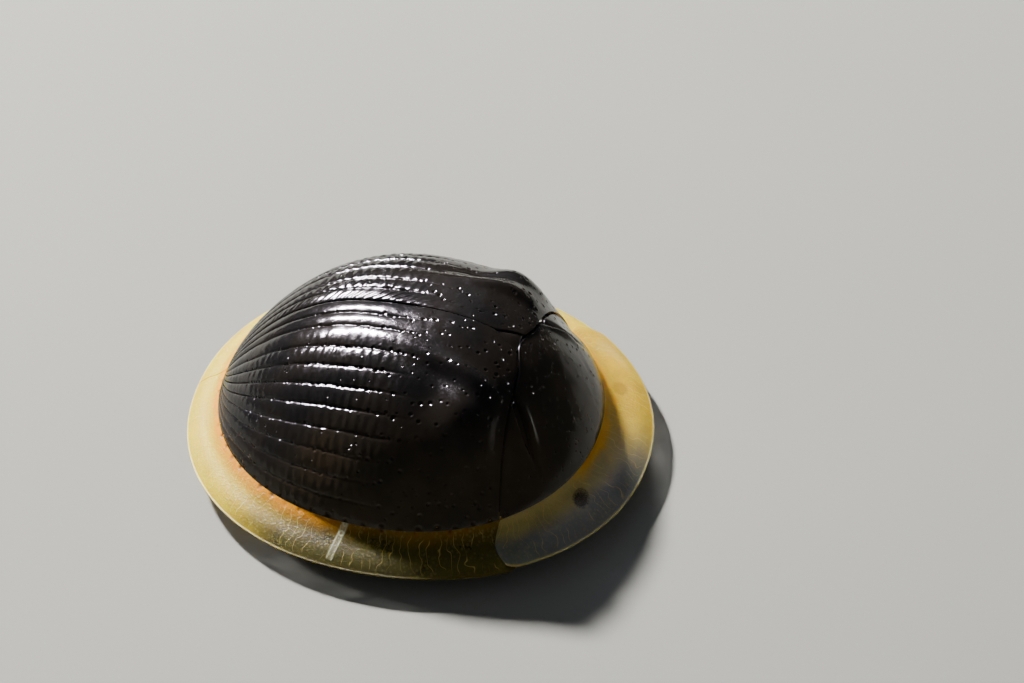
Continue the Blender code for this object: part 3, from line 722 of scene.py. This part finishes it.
def elytron_path(share):
    """From below the pronotum's hind corner round to the rear tip, closer set in front."""
    start = oval_angle(DISC, seam_y(pronotum_corner()) + SEAM_GAP - BRIM_LAP)
    share = share**1.25
    angle = start + (math.pi / 2 - start) * share
    front_end = math.exp(-share / SHOULDER_FADE)
    inner = oval_point(DISC, angle)
    outer = oval_point(RIM, angle + math.radians(SHOULDER_TURN) * front_end)
    outer -= (outer - inner).normalized() * corner_in(share * ELYTRON_RUN, ELYTRON_CORNER)
    inner.x += SUTURE_GAP
    outer.x = max(outer.x, SUTURE_GAP)
    return inner, outer, Vector(CORNER_BULGE) * front_end, -LAP_DROP * front_end


def pronotum_path(share):
    """Round the front from one hind corner to the other, closer set at both ends."""
    side = 1 - 2 * share
    eased = math.copysign(1 - (1 - abs(side)) ** 1.6, side)
    start = oval_angle(DISC, seam_y(pronotum_corner()) - SEAM_GAP)
    angle = -math.pi / 2 + (start + math.pi / 2) * abs(eased)
    hind_end = math.exp(-(1 - abs(eased)) / CORNER_FADE)
    inner = oval_point(DISC, angle)
    outer = oval_point(RIM, angle + math.radians(CORNER_TURN) * hind_end)
    outer -= (outer - inner).normalized() * corner_in((1 - abs(eased)) * PRONOTUM_RUN, PRONOTUM_CORNER)
    sign = -1.0 if side > 0 else 1.0
    drift = Vector((CORNER_BULGE[0] * sign, CORNER_BULGE[1])) * hind_end
    flip = Vector((sign, 1.0))
    return inner * flip, outer * flip, drift, CORNER_LIFT * hind_end


# The third and fourth tones of each set are painted shade for the near side in the dome's shadow. The
# pronotum's fourth, blue-grey, is also a painted sky reflection.
wing_tones = ((0.95, 0.36, 0.004), (1.0, 0.70, 0.016), (0.11, 0.095, 0.016), (0.12, 0.110, 0.024),
              (0.85, 0.68, 0.18))
shield_tones = ((0.95, 0.46, 0.012), (0.86, 0.54, 0.012), (0.60, 0.52, 0.20), (0.25, 0.265, 0.24),
                (0.55, 0.46, 0.20))
amber = clear_cuticle("amber_cuticle", wing_tones, clearness=0.20, shade_patchiness=0.6, foot=1.0)
pale_amber = clear_cuticle("pale_amber_cuticle", shield_tones, clearness=0.24, shade_patchiness=0.6, foot=0.0)
for side in ("left", "right"):
    piece = brim(f"elytron_{side}_brim", 420, elytron_path, 40, amber)
    if side == "right":
        piece.data.transform(Matrix.Diagonal((-1.0, 1.0, 1.0, 1.0)))
        piece.data.flip_normals()
    ride(piece, "margin_amber", "elytron_" + side)
ride(brim("pronotum_brim", 520, pronotum_path, 40, pale_amber), "margin_amber", "pronotum")


# Scutellum
# The small triangular plate of the same black cuticle between the pronotum's lobe and the wing cases.
# It lies in the notch of their front ends, level with them, with a hairline seam all round.
SCUTELLUM_DROP = 0.012


def scutellum_plate(name, material):
    """A low crowned triangle with its own flat lower face and sides."""
    columns, rows = 24, 24
    half = SCUTELLUM_WIDTH / 2 - SEAM_GAP
    base = SEAM_Y
    tip = SEAM_Y + SCUTELLUM_LENGTH - SEAM_GAP
    vertices, faces = [], []
    for sink in (0.0, 0.14):
        for j in range(rows + 1):
            y = base + (tip - base) * j / rows
            for i in range(columns + 1):
                side = 2 * i / columns - 1
                x = side * half * (1 - j / rows)
                crown = 0.020 * (1 - side**2) * math.sin(math.pi * min(1.0, 0.12 + j / rows))
                z = dome_height(x, y, DOME_RISE) - SCUTELLUM_DROP + (crown - 0.012 if sink == 0 else -sink)
                vertices.append((x * MM, y * MM, z * MM))
    wide = columns + 1
    below = wide * (rows + 1)
    for j in range(rows):
        for i in range(columns):
            a = j * wide + i
            faces.append((a, a + 1, a + 1 + wide, a + wide))
            faces.append((below + a, below + a + wide, below + a + 1 + wide, below + a + 1))
    for i in range(columns):
        faces.append((i + 1, i, below + i, below + i + 1))
    for j in range(rows):
        a, b = j * wide, (j + 1) * wide
        faces.append((a, b, below + b, below + a))
        faces.append((b + columns, a + columns, below + a + columns, below + b + columns))
    return new_piece(name, vertices, faces, material)


ride(scutellum_plate("scutellum_plate", cuticle), "shell_black", "scutellum")


# Underside plates
# The sternites that close the body below: prosternum, the two plates of the hind thorax with their
# sutures and leg sockets, and five lapped ventrites.  Dark brown satin cuticle with fine hairs.
VENTER_Z, VENTER_KEEL = 0.72, 0.05
CEILING = Oval(DISC.side - 0.30, DISC.front - 0.20, DISC.rear - 0.20)
CEILING_Z, CEILING_TOP = 0.62, 2.22
BODY_CLEARANCE, BODY_SIDE, BODY_TUCK = 0.15, 0.15, 0.97
VENTRITES, VENTRITE_STEP = 5, 0.05
SOCKETS = ((0.42, -1.62), (0.55, -0.70), (0.50, 0.08))
SOCKET_RADIUS = 0.23
LOWEST_HAIR = 0.11
TRUNK_SPANS = {"prothorax": (-2.08, -1.376), "thorax": (-1.364, 0.404), "abdomen": (0.416, 2.46)}


def brown_cuticle():
    material, place = new_material("brown_cuticle")
    hair = mark(place, "hair")
    clouds = place.noise(1.6, 3.0)
    pits = 1 - place.cells(11.0).step(0.10, 0.32)
    grain = place.noise(26.0, 3.0, 0.6)
    brown = clouds.step(0.3, 0.7).blend((0.022, 0.012, 0.007), (0.070, 0.036, 0.015))
    pitted = (pits * 0.5).blend(brown, (0.012, 0.007, 0.004))
    return feed(material, {
        "Base Color": hair.blend(pitted, (0.50, 0.40, 0.22)),
        "Roughness": 0.30 + 0.20 * grain,
        "Normal": bumped(grain * 0.25 - pits, 0.010),
        "Coat Weight": 0.12,
        "Coat Roughness": 0.15,
    })


def hair_tree(material):
    """Short pale hairs, three-sided and leaning, spread over a piece."""
    sizes = {"Hairs per square mm": 60.0, "Hair length": 0.08, "Hair width": 0.007, "Lean": 0.8, "Seed": 1}
    tree, size = press_tree("short_hairs", sizes)
    maker = Wire(tree)
    height = split(maker.node("GeometryNodeInputPosition"))[2]
    spread = {"Mesh": size["Sheet"], "Density": size["Hairs per square mm"] * 1e6, "Seed": size["Seed"],
              "Selection": 1 - (height < LOWEST_HAIR * MM)}
    points = maker.node("GeometryNodeDistributePointsOnFaces", None, spread)
    ends = {0: (-1.0, -1.0, -3.0), 1: (1.0, 1.0, 3.0), 8: size["Seed"]}
    turn = maker.node("FunctionNodeRandomValue", {"data_type": "FLOAT_VECTOR"}, ends)
    lean = maker.node("FunctionNodeEulerToRotation", None, {0: turn * size["Lean"]})
    way = maker.node("FunctionNodeRotateRotation", None, {0: points.sibling(2), 1: lean})
    cone = {"Vertices": 3, "Radius Top": 0.0, "Radius Bottom": size["Hair width"] * (0.5 * MM),
            "Depth": size["Hair length"] * MM}
    hair = maker.node("GeometryNodeMeshCone", {"fill_type": "NONE"}, cone)
    hair = store(hair, "hair", 1.0)
    tall = maker.random(0.6, 1.2, size["Seed"] + 1)
    coat = {"Points": points, "Instance": hair, "Rotation": way, "Scale": tall}
    hairs = maker.node("GeometryNodeInstanceOnPoints", None, coat)
    joined = maker.node("GeometryNodeJoinGeometry", None, {"Geometry": hairs})
    tree.links.new(size["Sheet"].socket, joined.socket.node.inputs[0])
    close_tree(tree, joined, material)
    return tree


def finished(name, mesh):
    """An object from modelled faces, all turned outwards."""
    bmesh.ops.recalc_face_normals(mesh, faces=mesh.faces)
    if mesh.calc_volume(signed=True) < 0:
        bmesh.ops.reverse_faces(mesh, faces=mesh.faces)
    data = bpy.data.meshes.new(name)
    mesh.to_mesh(data)
    mesh.free()
    data.shade_smooth()
    return new_object(name, data)


def lofted(name, rings):
    """Closed body through rings of points in millimetres, with flat ends."""
    mesh = bmesh.new()
    loops = [[mesh.verts.new(Vector(point) * MM) for point in ring] for ring in rings]
    for ring, following in zip(loops, loops[1:]):
        for n in range(len(ring)):
            after = (n + 1) % len(ring)
            mesh.faces.new((ring[n], ring[after], following[after], following[n]))
    mesh.faces.new(loops[0])
    mesh.faces.new(loops[-1])
    return finished(name, mesh)


def haired(piece, tree, sizes, sharp=50):
    """Adds the hairs and keeps the creases between plates crisp."""
    pressed(piece, tree, sizes).data.set_sharp_from_angle(angle=math.radians(sharp))


def ceiling_height(x, y):
    """Inner face of the dome."""
    reach = min(1.0, CEILING.reach(x, y))
    return CEILING_Z + (CEILING_TOP - CEILING_Z) * (1 - reach**DOME_FULLNESS) ** DOME_SHOULDER


def body_half_width(y):
    """How far out the dome still leaves room for the trunk's side."""
    inner, outer = 0.0, CEILING.half_width(y)
    for _ in range(20):
        middle = (inner + outer) / 2
        if ceiling_height(middle, y) - BODY_CLEARANCE > VENTER_Z + BODY_SIDE:
            inner = middle
        else:
            outer = middle
    return inner


def sockets(x, y):
    """Rims and hollows round the roots of the legs; negative is down, towards the floor."""
    relief = 0.0
    for place in SOCKETS:
        away = math.hypot(abs(x) - place[0], y - place[1])
        relief += 0.045 * bell(away / (SOCKET_RADIUS * 0.8)) - 0.030 * bell((away - SOCKET_RADIUS) / 0.05)
    return relief


def prothorax_relief(x, y, half):
    """The keel between the front legs and the suture towards the turned-in side."""
    process = -0.045 * bell(x / 0.12) * bell((y + 1.60) / 0.30)
    notal_suture = 0.030 * bell((abs(x) - 0.70 * half) / 0.025)
    return sockets(x, y) + process + notal_suture


def thorax_relief(x, y, half):
    """The midline, the suture across and those along the side and before the hind edge."""
    midline = 0.022 * bell(x / 0.018) * (1.0 if y > -0.55 else 0.0)
    cross = 0.026 * bell((y + 0.52 + 0.10 * abs(x)) / 0.022)
    edge = 0.030 * bell((abs(x) - 0.80 * half) / 0.025)
    hind = 0.022 * bell((y - 0.30 + 0.06 * abs(x)) / 0.020)
    return sockets(x, y) + midline + cross + edge + hind


def abdomen_relief(x, y, half):
    """Each ventrite laps the next like a shallow roof tile, with a dimple near each end."""
    start, end = TRUNK_SPANS["abdomen"]
    share = min(0.9999, (y - start) / (end - start)) * VENTRITES
    tile = VENTRITE_STEP * (share % 1.0) ** 1.3
    dimple = 0.035 * soft_form(abs(x), share % 1.0, (0.72 * half, 0.45), (0.09, 0.20))
    return tile + dimple + 0.03 * bell(share % 1.0 / 0.05)


def trunk_plate(name, relief, rows):
    """A third of the trunk: its roof follows the dome and its face carries the relief."""
    start, end = TRUNK_SPANS[name]
    columns, over = 120, 14
    rings = []
    for j in range(rows + 1):
        y = start + (end - start) * j / rows
        half = body_half_width(y)
        ring = []
        for n in range(over + 1):
            x = half * math.cos(math.pi * n / over)
            ring.append((x, y, ceiling_height(x, y) - BODY_CLEARANCE))
        for n in range(columns + 1):
            x = half * BODY_TUCK * (2 * n / columns - 1)
            inside = 1 - (x / half) ** 2
            lifted = relief(x, y, half) * min(1.0, 8 * inside)
            ring.append((x, y, VENTER_Z - VENTER_KEEL * inside + lifted))
        rings.append(ring)
    return lofted(name + "_plates", rings)


brown = brown_cuticle()
brown_hairs = hair_tree(brown)
reliefs = (prothorax_relief, thorax_relief, abdomen_relief)
for name, relief, rows in zip(TRUNK_SPANS, reliefs, (40, 90, 120)):
    piece = trunk_plate(name, relief, rows)
    haired(piece, brown_hairs, {"Hairs per square mm": 45.0, "Seed": rows}, 60)
    ride(piece, "underside_brown", name)


# Head
# A flat capsule turned face down under the pronotum's brim, with temples that carry the eyes, a
# furrowed face, the lip, two curved jaws and two pairs of jointed palps.
HEAD_CENTRE, HEAD_HALF = (0.0, -2.38, 0.33), (0.94, 0.45, 0.21)
LIP_CENTRE, LIP_HALF = (0.0, -2.70, 0.22), (0.26, 0.15, 0.09)
TEMPLE_CENTRE, TEMPLE_HALF = (0.84, -2.58, 0.34), (0.21, 0.20, 0.13)
JAW_RADIUS = 0.075
JAW_ROUTE = ((0.20, -2.70, 0.18), (0.19, -2.84, 0.16), (0.10, -2.90, 0.14), (0.03, -2.91, 0.14))
OUTER_PALP = ((0.34, -2.64, 0.17), (0.40, -2.78, 0.12), (0.39, -2.91, 0.10))
INNER_PALP = ((0.13, -2.64, 0.13), (0.15, -2.74, 0.09), (0.13, -2.82, 0.08))


def face_relief(way):
    """Midline, the V above the clypeus, and the rims of the feelers' sockets."""
    front = max(0.0, -way.y)
    relief = -0.05 * bell(way.x / 0.030) * front
    relief -= 0.06 * front * bell((way.z + 0.62 - 0.9 * abs(way.x)) / 0.07) * bell(way.x / 0.45)
    socket = math.hypot(abs(way.x) - 0.42, way.z + 0.05)
    return relief + front * (0.05 * bell((socket - 0.16) / 0.05) - 0.06 * bell(socket / 0.10))


def rounded(name, centre, half, across=40, up=20, relief=None):
    mesh = bmesh.new()
    bmesh.ops.create_uvsphere(mesh, u_segments=across, v_segments=up, radius=1.0)
    for vertex in mesh.verts:
        grown = vertex.co * (1 + (relief(vertex.co) if relief else 0.0))
        vertex.co = Vector((h * g + c) * MM for h, g, c in zip(half, grown, centre))
    return finished(name, mesh)


def smooth_route(route, count):
    """Evenly numbered points on a smooth curve through a route's own points."""
    knots = [Vector(point) for point in route]
    knots = [2 * knots[0] - knots[1], *knots, 2 * knots[-1] - knots[-2]]
    points = []
    for n in range(count + 1):
        place = n / count * (len(knots) - 3)
        at = min(int(place), len(knots) - 4)
        t = place - at
        a, b, c, d = knots[at : at + 4]
        points.append(0.5 * (2 * b + (c - a) * t + (2 * a - 5 * b + 4 * c - d) * t**2
                             + (3 * b - 3 * c + d - a) * t**3))
    return points


def tube(name, points, radii, sides=20, flat=1.0):
    """A rod of changing radius along a path; flat squeezes it from above."""
    rings = []
    for n, (point, radius) in enumerate(zip(points, radii)):
        ahead = points[min(n + 1, len(points) - 1)] - points[max(n - 1, 0)]
        aside = ahead.cross(Vector((0, 0, 1))).normalized()
        above = aside.cross(ahead).normalized() * flat
        turns = [2 * math.pi * k / sides for k in range(sides)]
        rings.append([point + radius * (math.cos(t) * aside + math.sin(t) * above) for t in turns])
    return lofted(name, rings)


def jointed(name, route, lengths, widths, steps=8):
    """A row of segments, each narrow at its root, widest near its end and round at its tip."""
    neck, sides, count = 0.45, 18, 400
    total = sum(lengths)
    fine = smooth_route(route, count)
    points, radii = [], []
    done = 0.0
    for length, width in zip(lengths, widths):
        for n in range(steps + 1):
            t = n / steps
            points.append(fine[round(count * (done + length * (0.02 + 0.96 * t)) / total)])
            swell = (t**0.55) * (1 - t**7) ** 0.5
            radii.append(width * (neck + (1 - neck) * swell) * (1.0 if t < 1 else 0.9))
        done += length
    radii[-1] *= 0.4
    return tube(name, points, radii, sides)


def rod(name, start, end, wide, narrow, belly=0.0, sides=20, flat=1.0):
    """A limb segment with round ends, which may be thicker half way."""
    start, end = Vector(start), Vector(end)
    along = (end - start).normalized()
    caps = [math.sin(math.radians(a)) for a in (12, 30, 50, 70)]
    points = [start - along * wide * math.sqrt(1 - c * c) for c in caps]
    points += [start.lerp(end, n / 12) for n in range(13)]
    points += [end + along * narrow * math.sqrt(1 - c * c) for c in reversed(caps)]
    radii = [wide * c for c in caps]
    radii += [wide + (narrow - wide) * n / 12 + belly * math.sin(math.pi * n / 12) for n in range(13)]
    radii += [narrow * c for c in reversed(caps)]
    return tube(name, points, radii, sides, flat)


def fused(name, pieces):
    """Joins overlapping closed pieces into one skin with nothing hidden inside."""
    group = bpy.data.collections.new(name + "_parts")
    for piece in pieces[1:]:
        bpy.context.scene.collection.objects.unlink(piece)
        group.objects.link(piece)
    union = pieces[0].modifiers.new("union", "BOOLEAN")
    union.operation = "UNION"
    union.operand_type = "COLLECTION"
    union.collection = group
    union.solver = "MANIFOLD"
    graph = bpy.context.evaluated_depsgraph_get()
    mesh = bmesh.new()
    mesh.from_mesh(pieces[0].evaluated_get(graph).to_mesh())
    for piece in pieces:
        bpy.data.objects.remove(piece, do_unlink=True)
    bpy.data.collections.remove(group)
    return finished(name, mesh)


def mirrored(points, sign):
    return [(sign * x, y, z) for x, y, z in points]


parts = [rounded("skull", HEAD_CENTRE, HEAD_HALF, 128, 64, face_relief), rounded("lip", LIP_CENTRE, LIP_HALF)]
for sign in (1, -1):
    parts.append(rounded("temple", mirrored([TEMPLE_CENTRE], sign)[0], TEMPLE_HALF))
    jaw = smooth_route(mirrored(JAW_ROUTE, sign), 14)
    radii = [JAW_RADIUS * (1 - 0.75 * (n / 14) ** 1.5) for n in range(15)]
    parts.append(tube("jaw", jaw, radii, sides=16, flat=0.8))
    parts.append(jointed("palp", mirrored(OUTER_PALP, sign), (1.0, 1.1, 1.3), (0.045, 0.048, 0.042)))
    parts.append(jointed("palp", mirrored(INNER_PALP, sign), (1.0, 1.2), (0.032, 0.030)))
piece = fused("head_capsule", parts)
haired(piece, brown_hairs, {"Hairs per square mm": 40.0, "Hair length": 0.06, "Seed": 4})
ride(piece, "underside_brown", "head")


# Eyes
# Two domed black eyes at the temples, each a skin of some six hundred small round lenses, seen as
# dark spots through the clear brim above them.
def eye_cuticle():
    material, place = new_material("eye_lenses")
    clouds = place.noise(9.0, 2.0)
    return feed(material, {
        "Base Color": clouds.step(0.3, 0.7).blend((0.006, 0.005, 0.005), (0.016, 0.010, 0.008)),
        "Roughness": 0.12 + 0.12 * place.noise(40.0, 2.0),
        "Normal": bumped(place.noise(60.0, 2.0), 0.0010),
        "Coat Weight": 0.5,
        "Coat Roughness": 0.05,
    })


def eye_tree(material, node):
    low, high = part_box(node)
    tree, size = press_tree(node + "_lenses", {"Lens rise": 0.05, "Lens width": 0.62})
    maker = Wire(tree)
    ball = maker.node("GeometryNodeMeshIcoSphere", None, {"Radius": 0.96, "Subdivisions": 4})
    lenses = maker.node("GeometryNodeDualMesh", None, {"Mesh": ball})
    drawn = {"Mesh": lenses, "Offset Scale": size["Lens rise"], "Individual": True}
    drawn = maker.node("GeometryNodeExtrudeMesh", {"mode": "FACES"}, drawn)
    narrowed = {"Geometry": drawn, "Selection": drawn.sibling(1), "Scale": size["Lens width"]}
    narrowed = maker.node("GeometryNodeScaleElements", {"domain": "FACE"}, narrowed)
    fitted = {"Geometry": narrowed, "Translation": tuple((low + high) / 2), "Scale": tuple((high - low) / 2)}
    close_tree(tree, maker.node("GeometryNodeTransform", None, fitted), material)
    return tree


lenses = eye_cuticle()
for side in ("left", "right"):
    piece = new_object(f"eye_{side}_lenses", bpy.data.meshes.new(f"eye_{side}_lenses"))
    ride(pressed(piece, eye_tree(lenses, "eye_" + side), {}), "eye_black", "eye_" + side)


# Feelers
# Each has eleven segments: a long scape, a small ball, four slender segments and a hairy club of
# five.  They are laid back below the brim.
FEELER_ROUTE = ((0.80, -2.34, 0.27), (1.00, -2.24, 0.28), (1.37, -2.23, 0.28), (1.80, -1.98, 0.27),
                (2.13, -1.55, 0.27), (2.33, -1.08, 0.28))
FEELER_LENGTHS = (1.5, 0.7, 0.9, 0.9, 0.9, 0.9, 1.0, 1.0, 1.0, 1.0, 1.5)
FEELER_WIDTHS = (0.085, 0.068, 0.060, 0.058, 0.060, 0.064, 0.092, 0.100, 0.102, 0.100, 0.088)


def limb_cuticle():
    material, place = new_material("limb_cuticle")
    hair = mark(place, "hair")
    clouds = place.noise(2.6, 3.0)
    grain = place.noise(24.0, 3.0, 0.6)
    creases = place.noise(9.0, 3.0, 0.6).step(0.52, 0.70)
    amber_tone = clouds.step(0.3, 0.7).blend((0.42, 0.23, 0.045), (0.58, 0.38, 0.09))
    shaded = (creases * 0.45).blend(amber_tone, (0.22, 0.10, 0.022))
    return feed(material, {
        "Base Color": hair.blend(shaded, (0.72, 0.60, 0.34)),
        "Roughness": 0.32 + 0.18 * grain,
        "Normal": bumped(grain, 0.005),
        "Subsurface Weight": 0.35,
        "Subsurface Radius": (1.0, 0.6, 0.2),
        "Subsurface Scale": 0.06 * MM,
        "Coat Weight": 0.10,
        "Coat Roughness": 0.15,
    })


limb = limb_cuticle()
limb_hairs = hair_tree(limb)
for side, sign in (("left", 1), ("right", -1)):
    route = mirrored(FEELER_ROUTE, sign)
    piece = jointed(f"antenna_{side}_segments", route, FEELER_LENGTHS, FEELER_WIDTHS, 10)
    haired(piece, limb_hairs, {"Hairs per square mm": 260.0, "Hair length": 0.05, "Seed": 20 + sign})
    ride(piece, "limb_amber", "antenna_" + side)


# Legs
# Six short legs: a ball of a coxa in its socket, a flat thigh, a shank that widens to its end, three
# broad foot pads, the last cleft in two, and a claw joint between its lobes with two hooked claws.
LEG_POINTS = {
    "front": ((0.42, -1.62, 0.42), (1.35, -1.70, 0.36), (1.62, -1.28, 0.24), (1.80, -0.97, 0.15)),
    "middle": ((0.55, -0.70, 0.42), (1.72, -0.46, 0.36), (2.26, -0.14, 0.24), (2.36, 0.26, 0.15)),
    "hind": ((0.50, 0.08, 0.42), (1.55, 0.74, 0.36), (2.08, 1.12, 0.24), (2.10, 1.56, 0.15)),
}
PAD_LENGTHS, PAD_WIDTHS, PAD_CLEFTS = (0.10, 0.11, 0.15), (0.10, 0.125, 0.165), (0.10, 0.22, 0.62)
PAD_HEIGHT, SOLE = 0.10, 0.02
CLAW_SPREAD = 24
CLAW_REACH, CLAW_RISE, CLAW_RADIUS = 0.19, 0.085, 0.036


def foot_pad(name, centre, ahead, length, width, cleft):
    """A pad with a domed back and a flat sole on the floor, notched in front by its cleft."""
    mesh = bmesh.new()
    aside = Vector((-ahead.y, ahead.x))
    around, steps = 40, 8
    rings = []
    for level in (1, -1):
        shares = [n / steps for n in range(1, steps + 1)]
        for share in shares if level == 1 else shares[-2::-1]:
            ring = []
            for k in range(around):
                turn = 2 * math.pi * k / around
                bend = min(turn, 2 * math.pi - turn)
                reach = 1 / math.hypot(math.cos(turn) / length, math.sin(turn) / width)
                reach *= share * (1 - cleft * bell(bend / 0.38))
                spot = centre + ahead * (reach * math.cos(turn)) + aside * (reach * math.sin(turn))
                rise = PAD_HEIGHT * (1 - share**2.6) ** 0.6 if level == 1 else -SOLE
                ring.append(mesh.verts.new(Vector((spot.x, spot.y, SOLE + rise)) * MM))
            rings.append(ring)
    for ring, following in zip(rings, rings[1:]):
        for n in range(around):
            after = (n + 1) % around
            mesh.faces.new((ring[n], ring[after], following[after], following[n]))
    for ring, z in ((rings[0], SOLE + PAD_HEIGHT), (rings[-1], 0.0)):
        pole = mesh.verts.new(Vector((centre.x, centre.y, z)) * MM)
        for n in range(around):
            mesh.faces.new((ring[n], ring[(n + 1) % around], pole))
    return finished(name, mesh)


def leg_skin(name, coxa, knee, ankle, toe):
    """A leg of one skin, from the ball in its socket to the joint between the last pad's lobes."""
    ahead = Vector((toe.x - ankle.x, toe.y - ankle.y)).normalized()
    down = Vector((0, 0, -0.05))
    parts = [
        rounded("coxa", (coxa.x, coxa.y, 0.55), (0.20, 0.17, 0.18), 32, 16),
        rod("trochanter", coxa + Vector((0, 0, 0.03)), coxa.lerp(knee, 0.16), 0.13, 0.11),
        rod("thigh", coxa.lerp(knee, 0.12), knee, 0.11, 0.11, 0.075, 24, 0.85),
        rod("knee", knee.lerp(coxa, 0.03), knee.lerp(ankle, 0.06), 0.10, 0.10),
        rod("shank", knee, ankle, 0.085, 0.135, 0.0, 24, 0.85),
        rod("ankle", ankle, ankle.lerp(toe, 0.22) + 2.2 * down, 0.07, 0.06),
    ]
    for n, (length, width, cleft) in enumerate(zip(PAD_LENGTHS, PAD_WIDTHS, PAD_CLEFTS)):
        centre = ankle.lerp(toe, (n + 0.5) / 3).xy
        parts.append(foot_pad("pad", centre, ahead, length, width, cleft))
    root = ankle.lerp(toe, 0.72)
    tip = Vector((toe.x, toe.y, 0.10))
    parts.append(rod("claw_joint", (root.x, root.y, 0.09), tip, 0.030, 0.045, 0.0, 16))
    return fused(name, parts)


def claw(toe, ahead, sign):
    """A tapered hook that curves out and down to the floor."""
    turn = math.radians(CLAW_SPREAD) * sign
    outward = Matrix.Rotation(turn, 2) @ ahead
    points, radii = [], []
    for n in range(15):
        share = n / 14
        spot = toe.xy + outward * (CLAW_REACH * math.sin(math.pi / 2 * share))
        points.append(Vector((spot.x, spot.y, 0.012 + CLAW_RISE * math.cos(math.pi / 2 * share) ** 0.8)))
        radii.append(CLAW_RADIUS * (1 - 0.80 * share**1.4))
    return tube("claw", points, radii, 12)


def horn():
    material, place = new_material("claw_horn")
    streaks = place.noise(14.0, 3.0)
    return feed(material, {
        "Base Color": streaks.step(0.3, 0.7).blend((0.045, 0.018, 0.006), (0.13, 0.055, 0.014)),
        "Roughness": 0.22 + 0.12 * place.noise(30.0, 2.0),
        "Normal": bumped(streaks, 0.002),
        "Coat Weight": 0.3,
        "Coat Roughness": 0.08,
    })


claw_horn = horn()
for side, sign in (("left", 1), ("right", -1)):
    for seed, (pair, route) in enumerate(LEG_POINTS.items()):
        coxa, knee, ankle, toe = (Vector(point) for point in mirrored(route, sign))
        node = f"leg_{pair}_{side}"
        piece = leg_skin(node + "_skin", coxa, knee, ankle, toe)
        haired(piece, limb_hairs, {"Hairs per square mm": 110.0, "Seed": 40 + 3 * sign + seed})
        ride(piece, "limb_amber", node)
        ahead = Vector((toe.x - ankle.x, toe.y - ankle.y)).normalized()
        piece = fused(node + "_claws", [claw(toe, ahead, 1), claw(toe, ahead, -1)])
        piece.data.materials.append(claw_horn)
        ride(piece, "limb_amber", node)


# Table top, lights and camera
# A plain pale table and three lamps behind the beetle's left: one for light and shadow, a strip that
# gives the bright band on the ribs and a weak broad one.  A faint fill and a dim room light the near side.
LOOK_AT = Vector((0.0, 0.0, 1.12)) * MM
CAMERA_YAW, CAMERA_ELEVATION = 15.0, 41.0
CAMERA_DISTANCE = 65.0 * MM
CAMERA_LENS = 152.4
PHOTO_WIDTH, PHOTO_HEIGHT = 1024, 683
LOOK_PIXEL = (420.94, 384.88)
TABLE_HALF = 0.4
LAMP_DISTANCE = 90.0
ROOM_COLOUR, ROOM_STRENGTH = (0.92, 0.96, 1.0, 1.0), 0.075
BAND_RUN, LONG_RUN = (0.17, -0.52, 0.24), (0.0, 1.0, 0.0)
# Way to the lamp, run of its width, colour, power, width, height and the rays that don't see it
LAMPS = {
    "sun_lamp": ((0.46, 0.63, 0.62), BAND_RUN, (1.0, 0.96, 0.90), 0.30, 8, 8, "visible_glossy"),
    "strip_lamp": ((0.52, 0.49, 0.70), BAND_RUN, (1.0, 0.88, 1.0), 3.80, 36, 5, "visible_diffuse"),
    "sky_lamp": ((0.80, 0.19, 0.57), LONG_RUN, (0.70, 0.80, 1.0), 0.0035, 60, 45, None),
    "fill_lamp": ((-0.70, -0.30, 0.65), LONG_RUN, (1.0, 0.97, 0.90), 0.001, 60, 60, "visible_glossy"),
}


def table_material():
    material, place = new_material("pale_table")
    cloud = place.noise(0.08, 3.0)
    return feed(material, {
        "Base Color": cloud.blend((0.36, 0.37, 0.35), (0.41, 0.415, 0.40)),
        "Roughness": 0.75,
        "Specular IOR Level": 0.0,
        "Normal": bumped(place.noise(6.0, 3.0), 0.004),
    })


def stage():
    corners = [(x * TABLE_HALF, y * TABLE_HALF, 0) for x, y in ((-1, -1), (1, -1), (1, 1), (-1, 1))]
    floor = new_piece("table_top", corners, [(0, 1, 2, 3)], table_material())


def lamp(name, towards, run, colour, power, width, height, unseen):
    """A flat lamp facing the beetle; run is the way its width lies."""
    light = bpy.data.lights.new(name, "AREA")
    light.shape = "RECTANGLE"
    light.size, light.size_y = width * MM, height * MM
    light.energy = power
    light.color = colour
    way = Vector(towards).normalized()
    above = way.cross(Vector(run)).normalized()
    turn = Matrix((above.cross(way), above, way)).transposed().to_4x4()
    holder = new_object(name, light)
    holder.matrix_world = Matrix.Translation(LOOK_AT + way * LAMP_DISTANCE * MM) @ turn
    if unseen:
        setattr(holder, unseen, False)


def room():
    world = bpy.data.worlds.new("dim_room")
    world.use_nodes = True
    light = world.node_tree.nodes["Background"].inputs
    light["Color"].default_value = ROOM_COLOUR
    light["Strength"].default_value = ROOM_STRENGTH
    bpy.context.scene.world = world


def camera():
    yaw, elevation = math.radians(CAMERA_YAW), math.radians(CAMERA_ELEVATION)
    level = math.cos(elevation)
    back = Vector((-math.cos(yaw) * level, -math.sin(yaw) * level, math.sin(elevation)))
    data = bpy.data.cameras.new("camera")
    data.lens = CAMERA_LENS
    data.shift_x = (PHOTO_WIDTH / 2 - LOOK_PIXEL[0]) / PHOTO_WIDTH
    data.shift_y = (LOOK_PIXEL[1] - PHOTO_HEIGHT / 2) / PHOTO_WIDTH
    data.clip_start, data.clip_end = 1.0 * MM, 5.0
    holder = new_object("camera", data)
    holder.location = LOOK_AT + back * CAMERA_DISTANCE
    holder.rotation_mode = "QUATERNION"
    holder.rotation_quaternion = back.to_track_quat("Z", "Y")
    bpy.context.scene.camera = holder


stage()
for name, values in LAMPS.items():
    lamp(name, *values)
room()
camera()
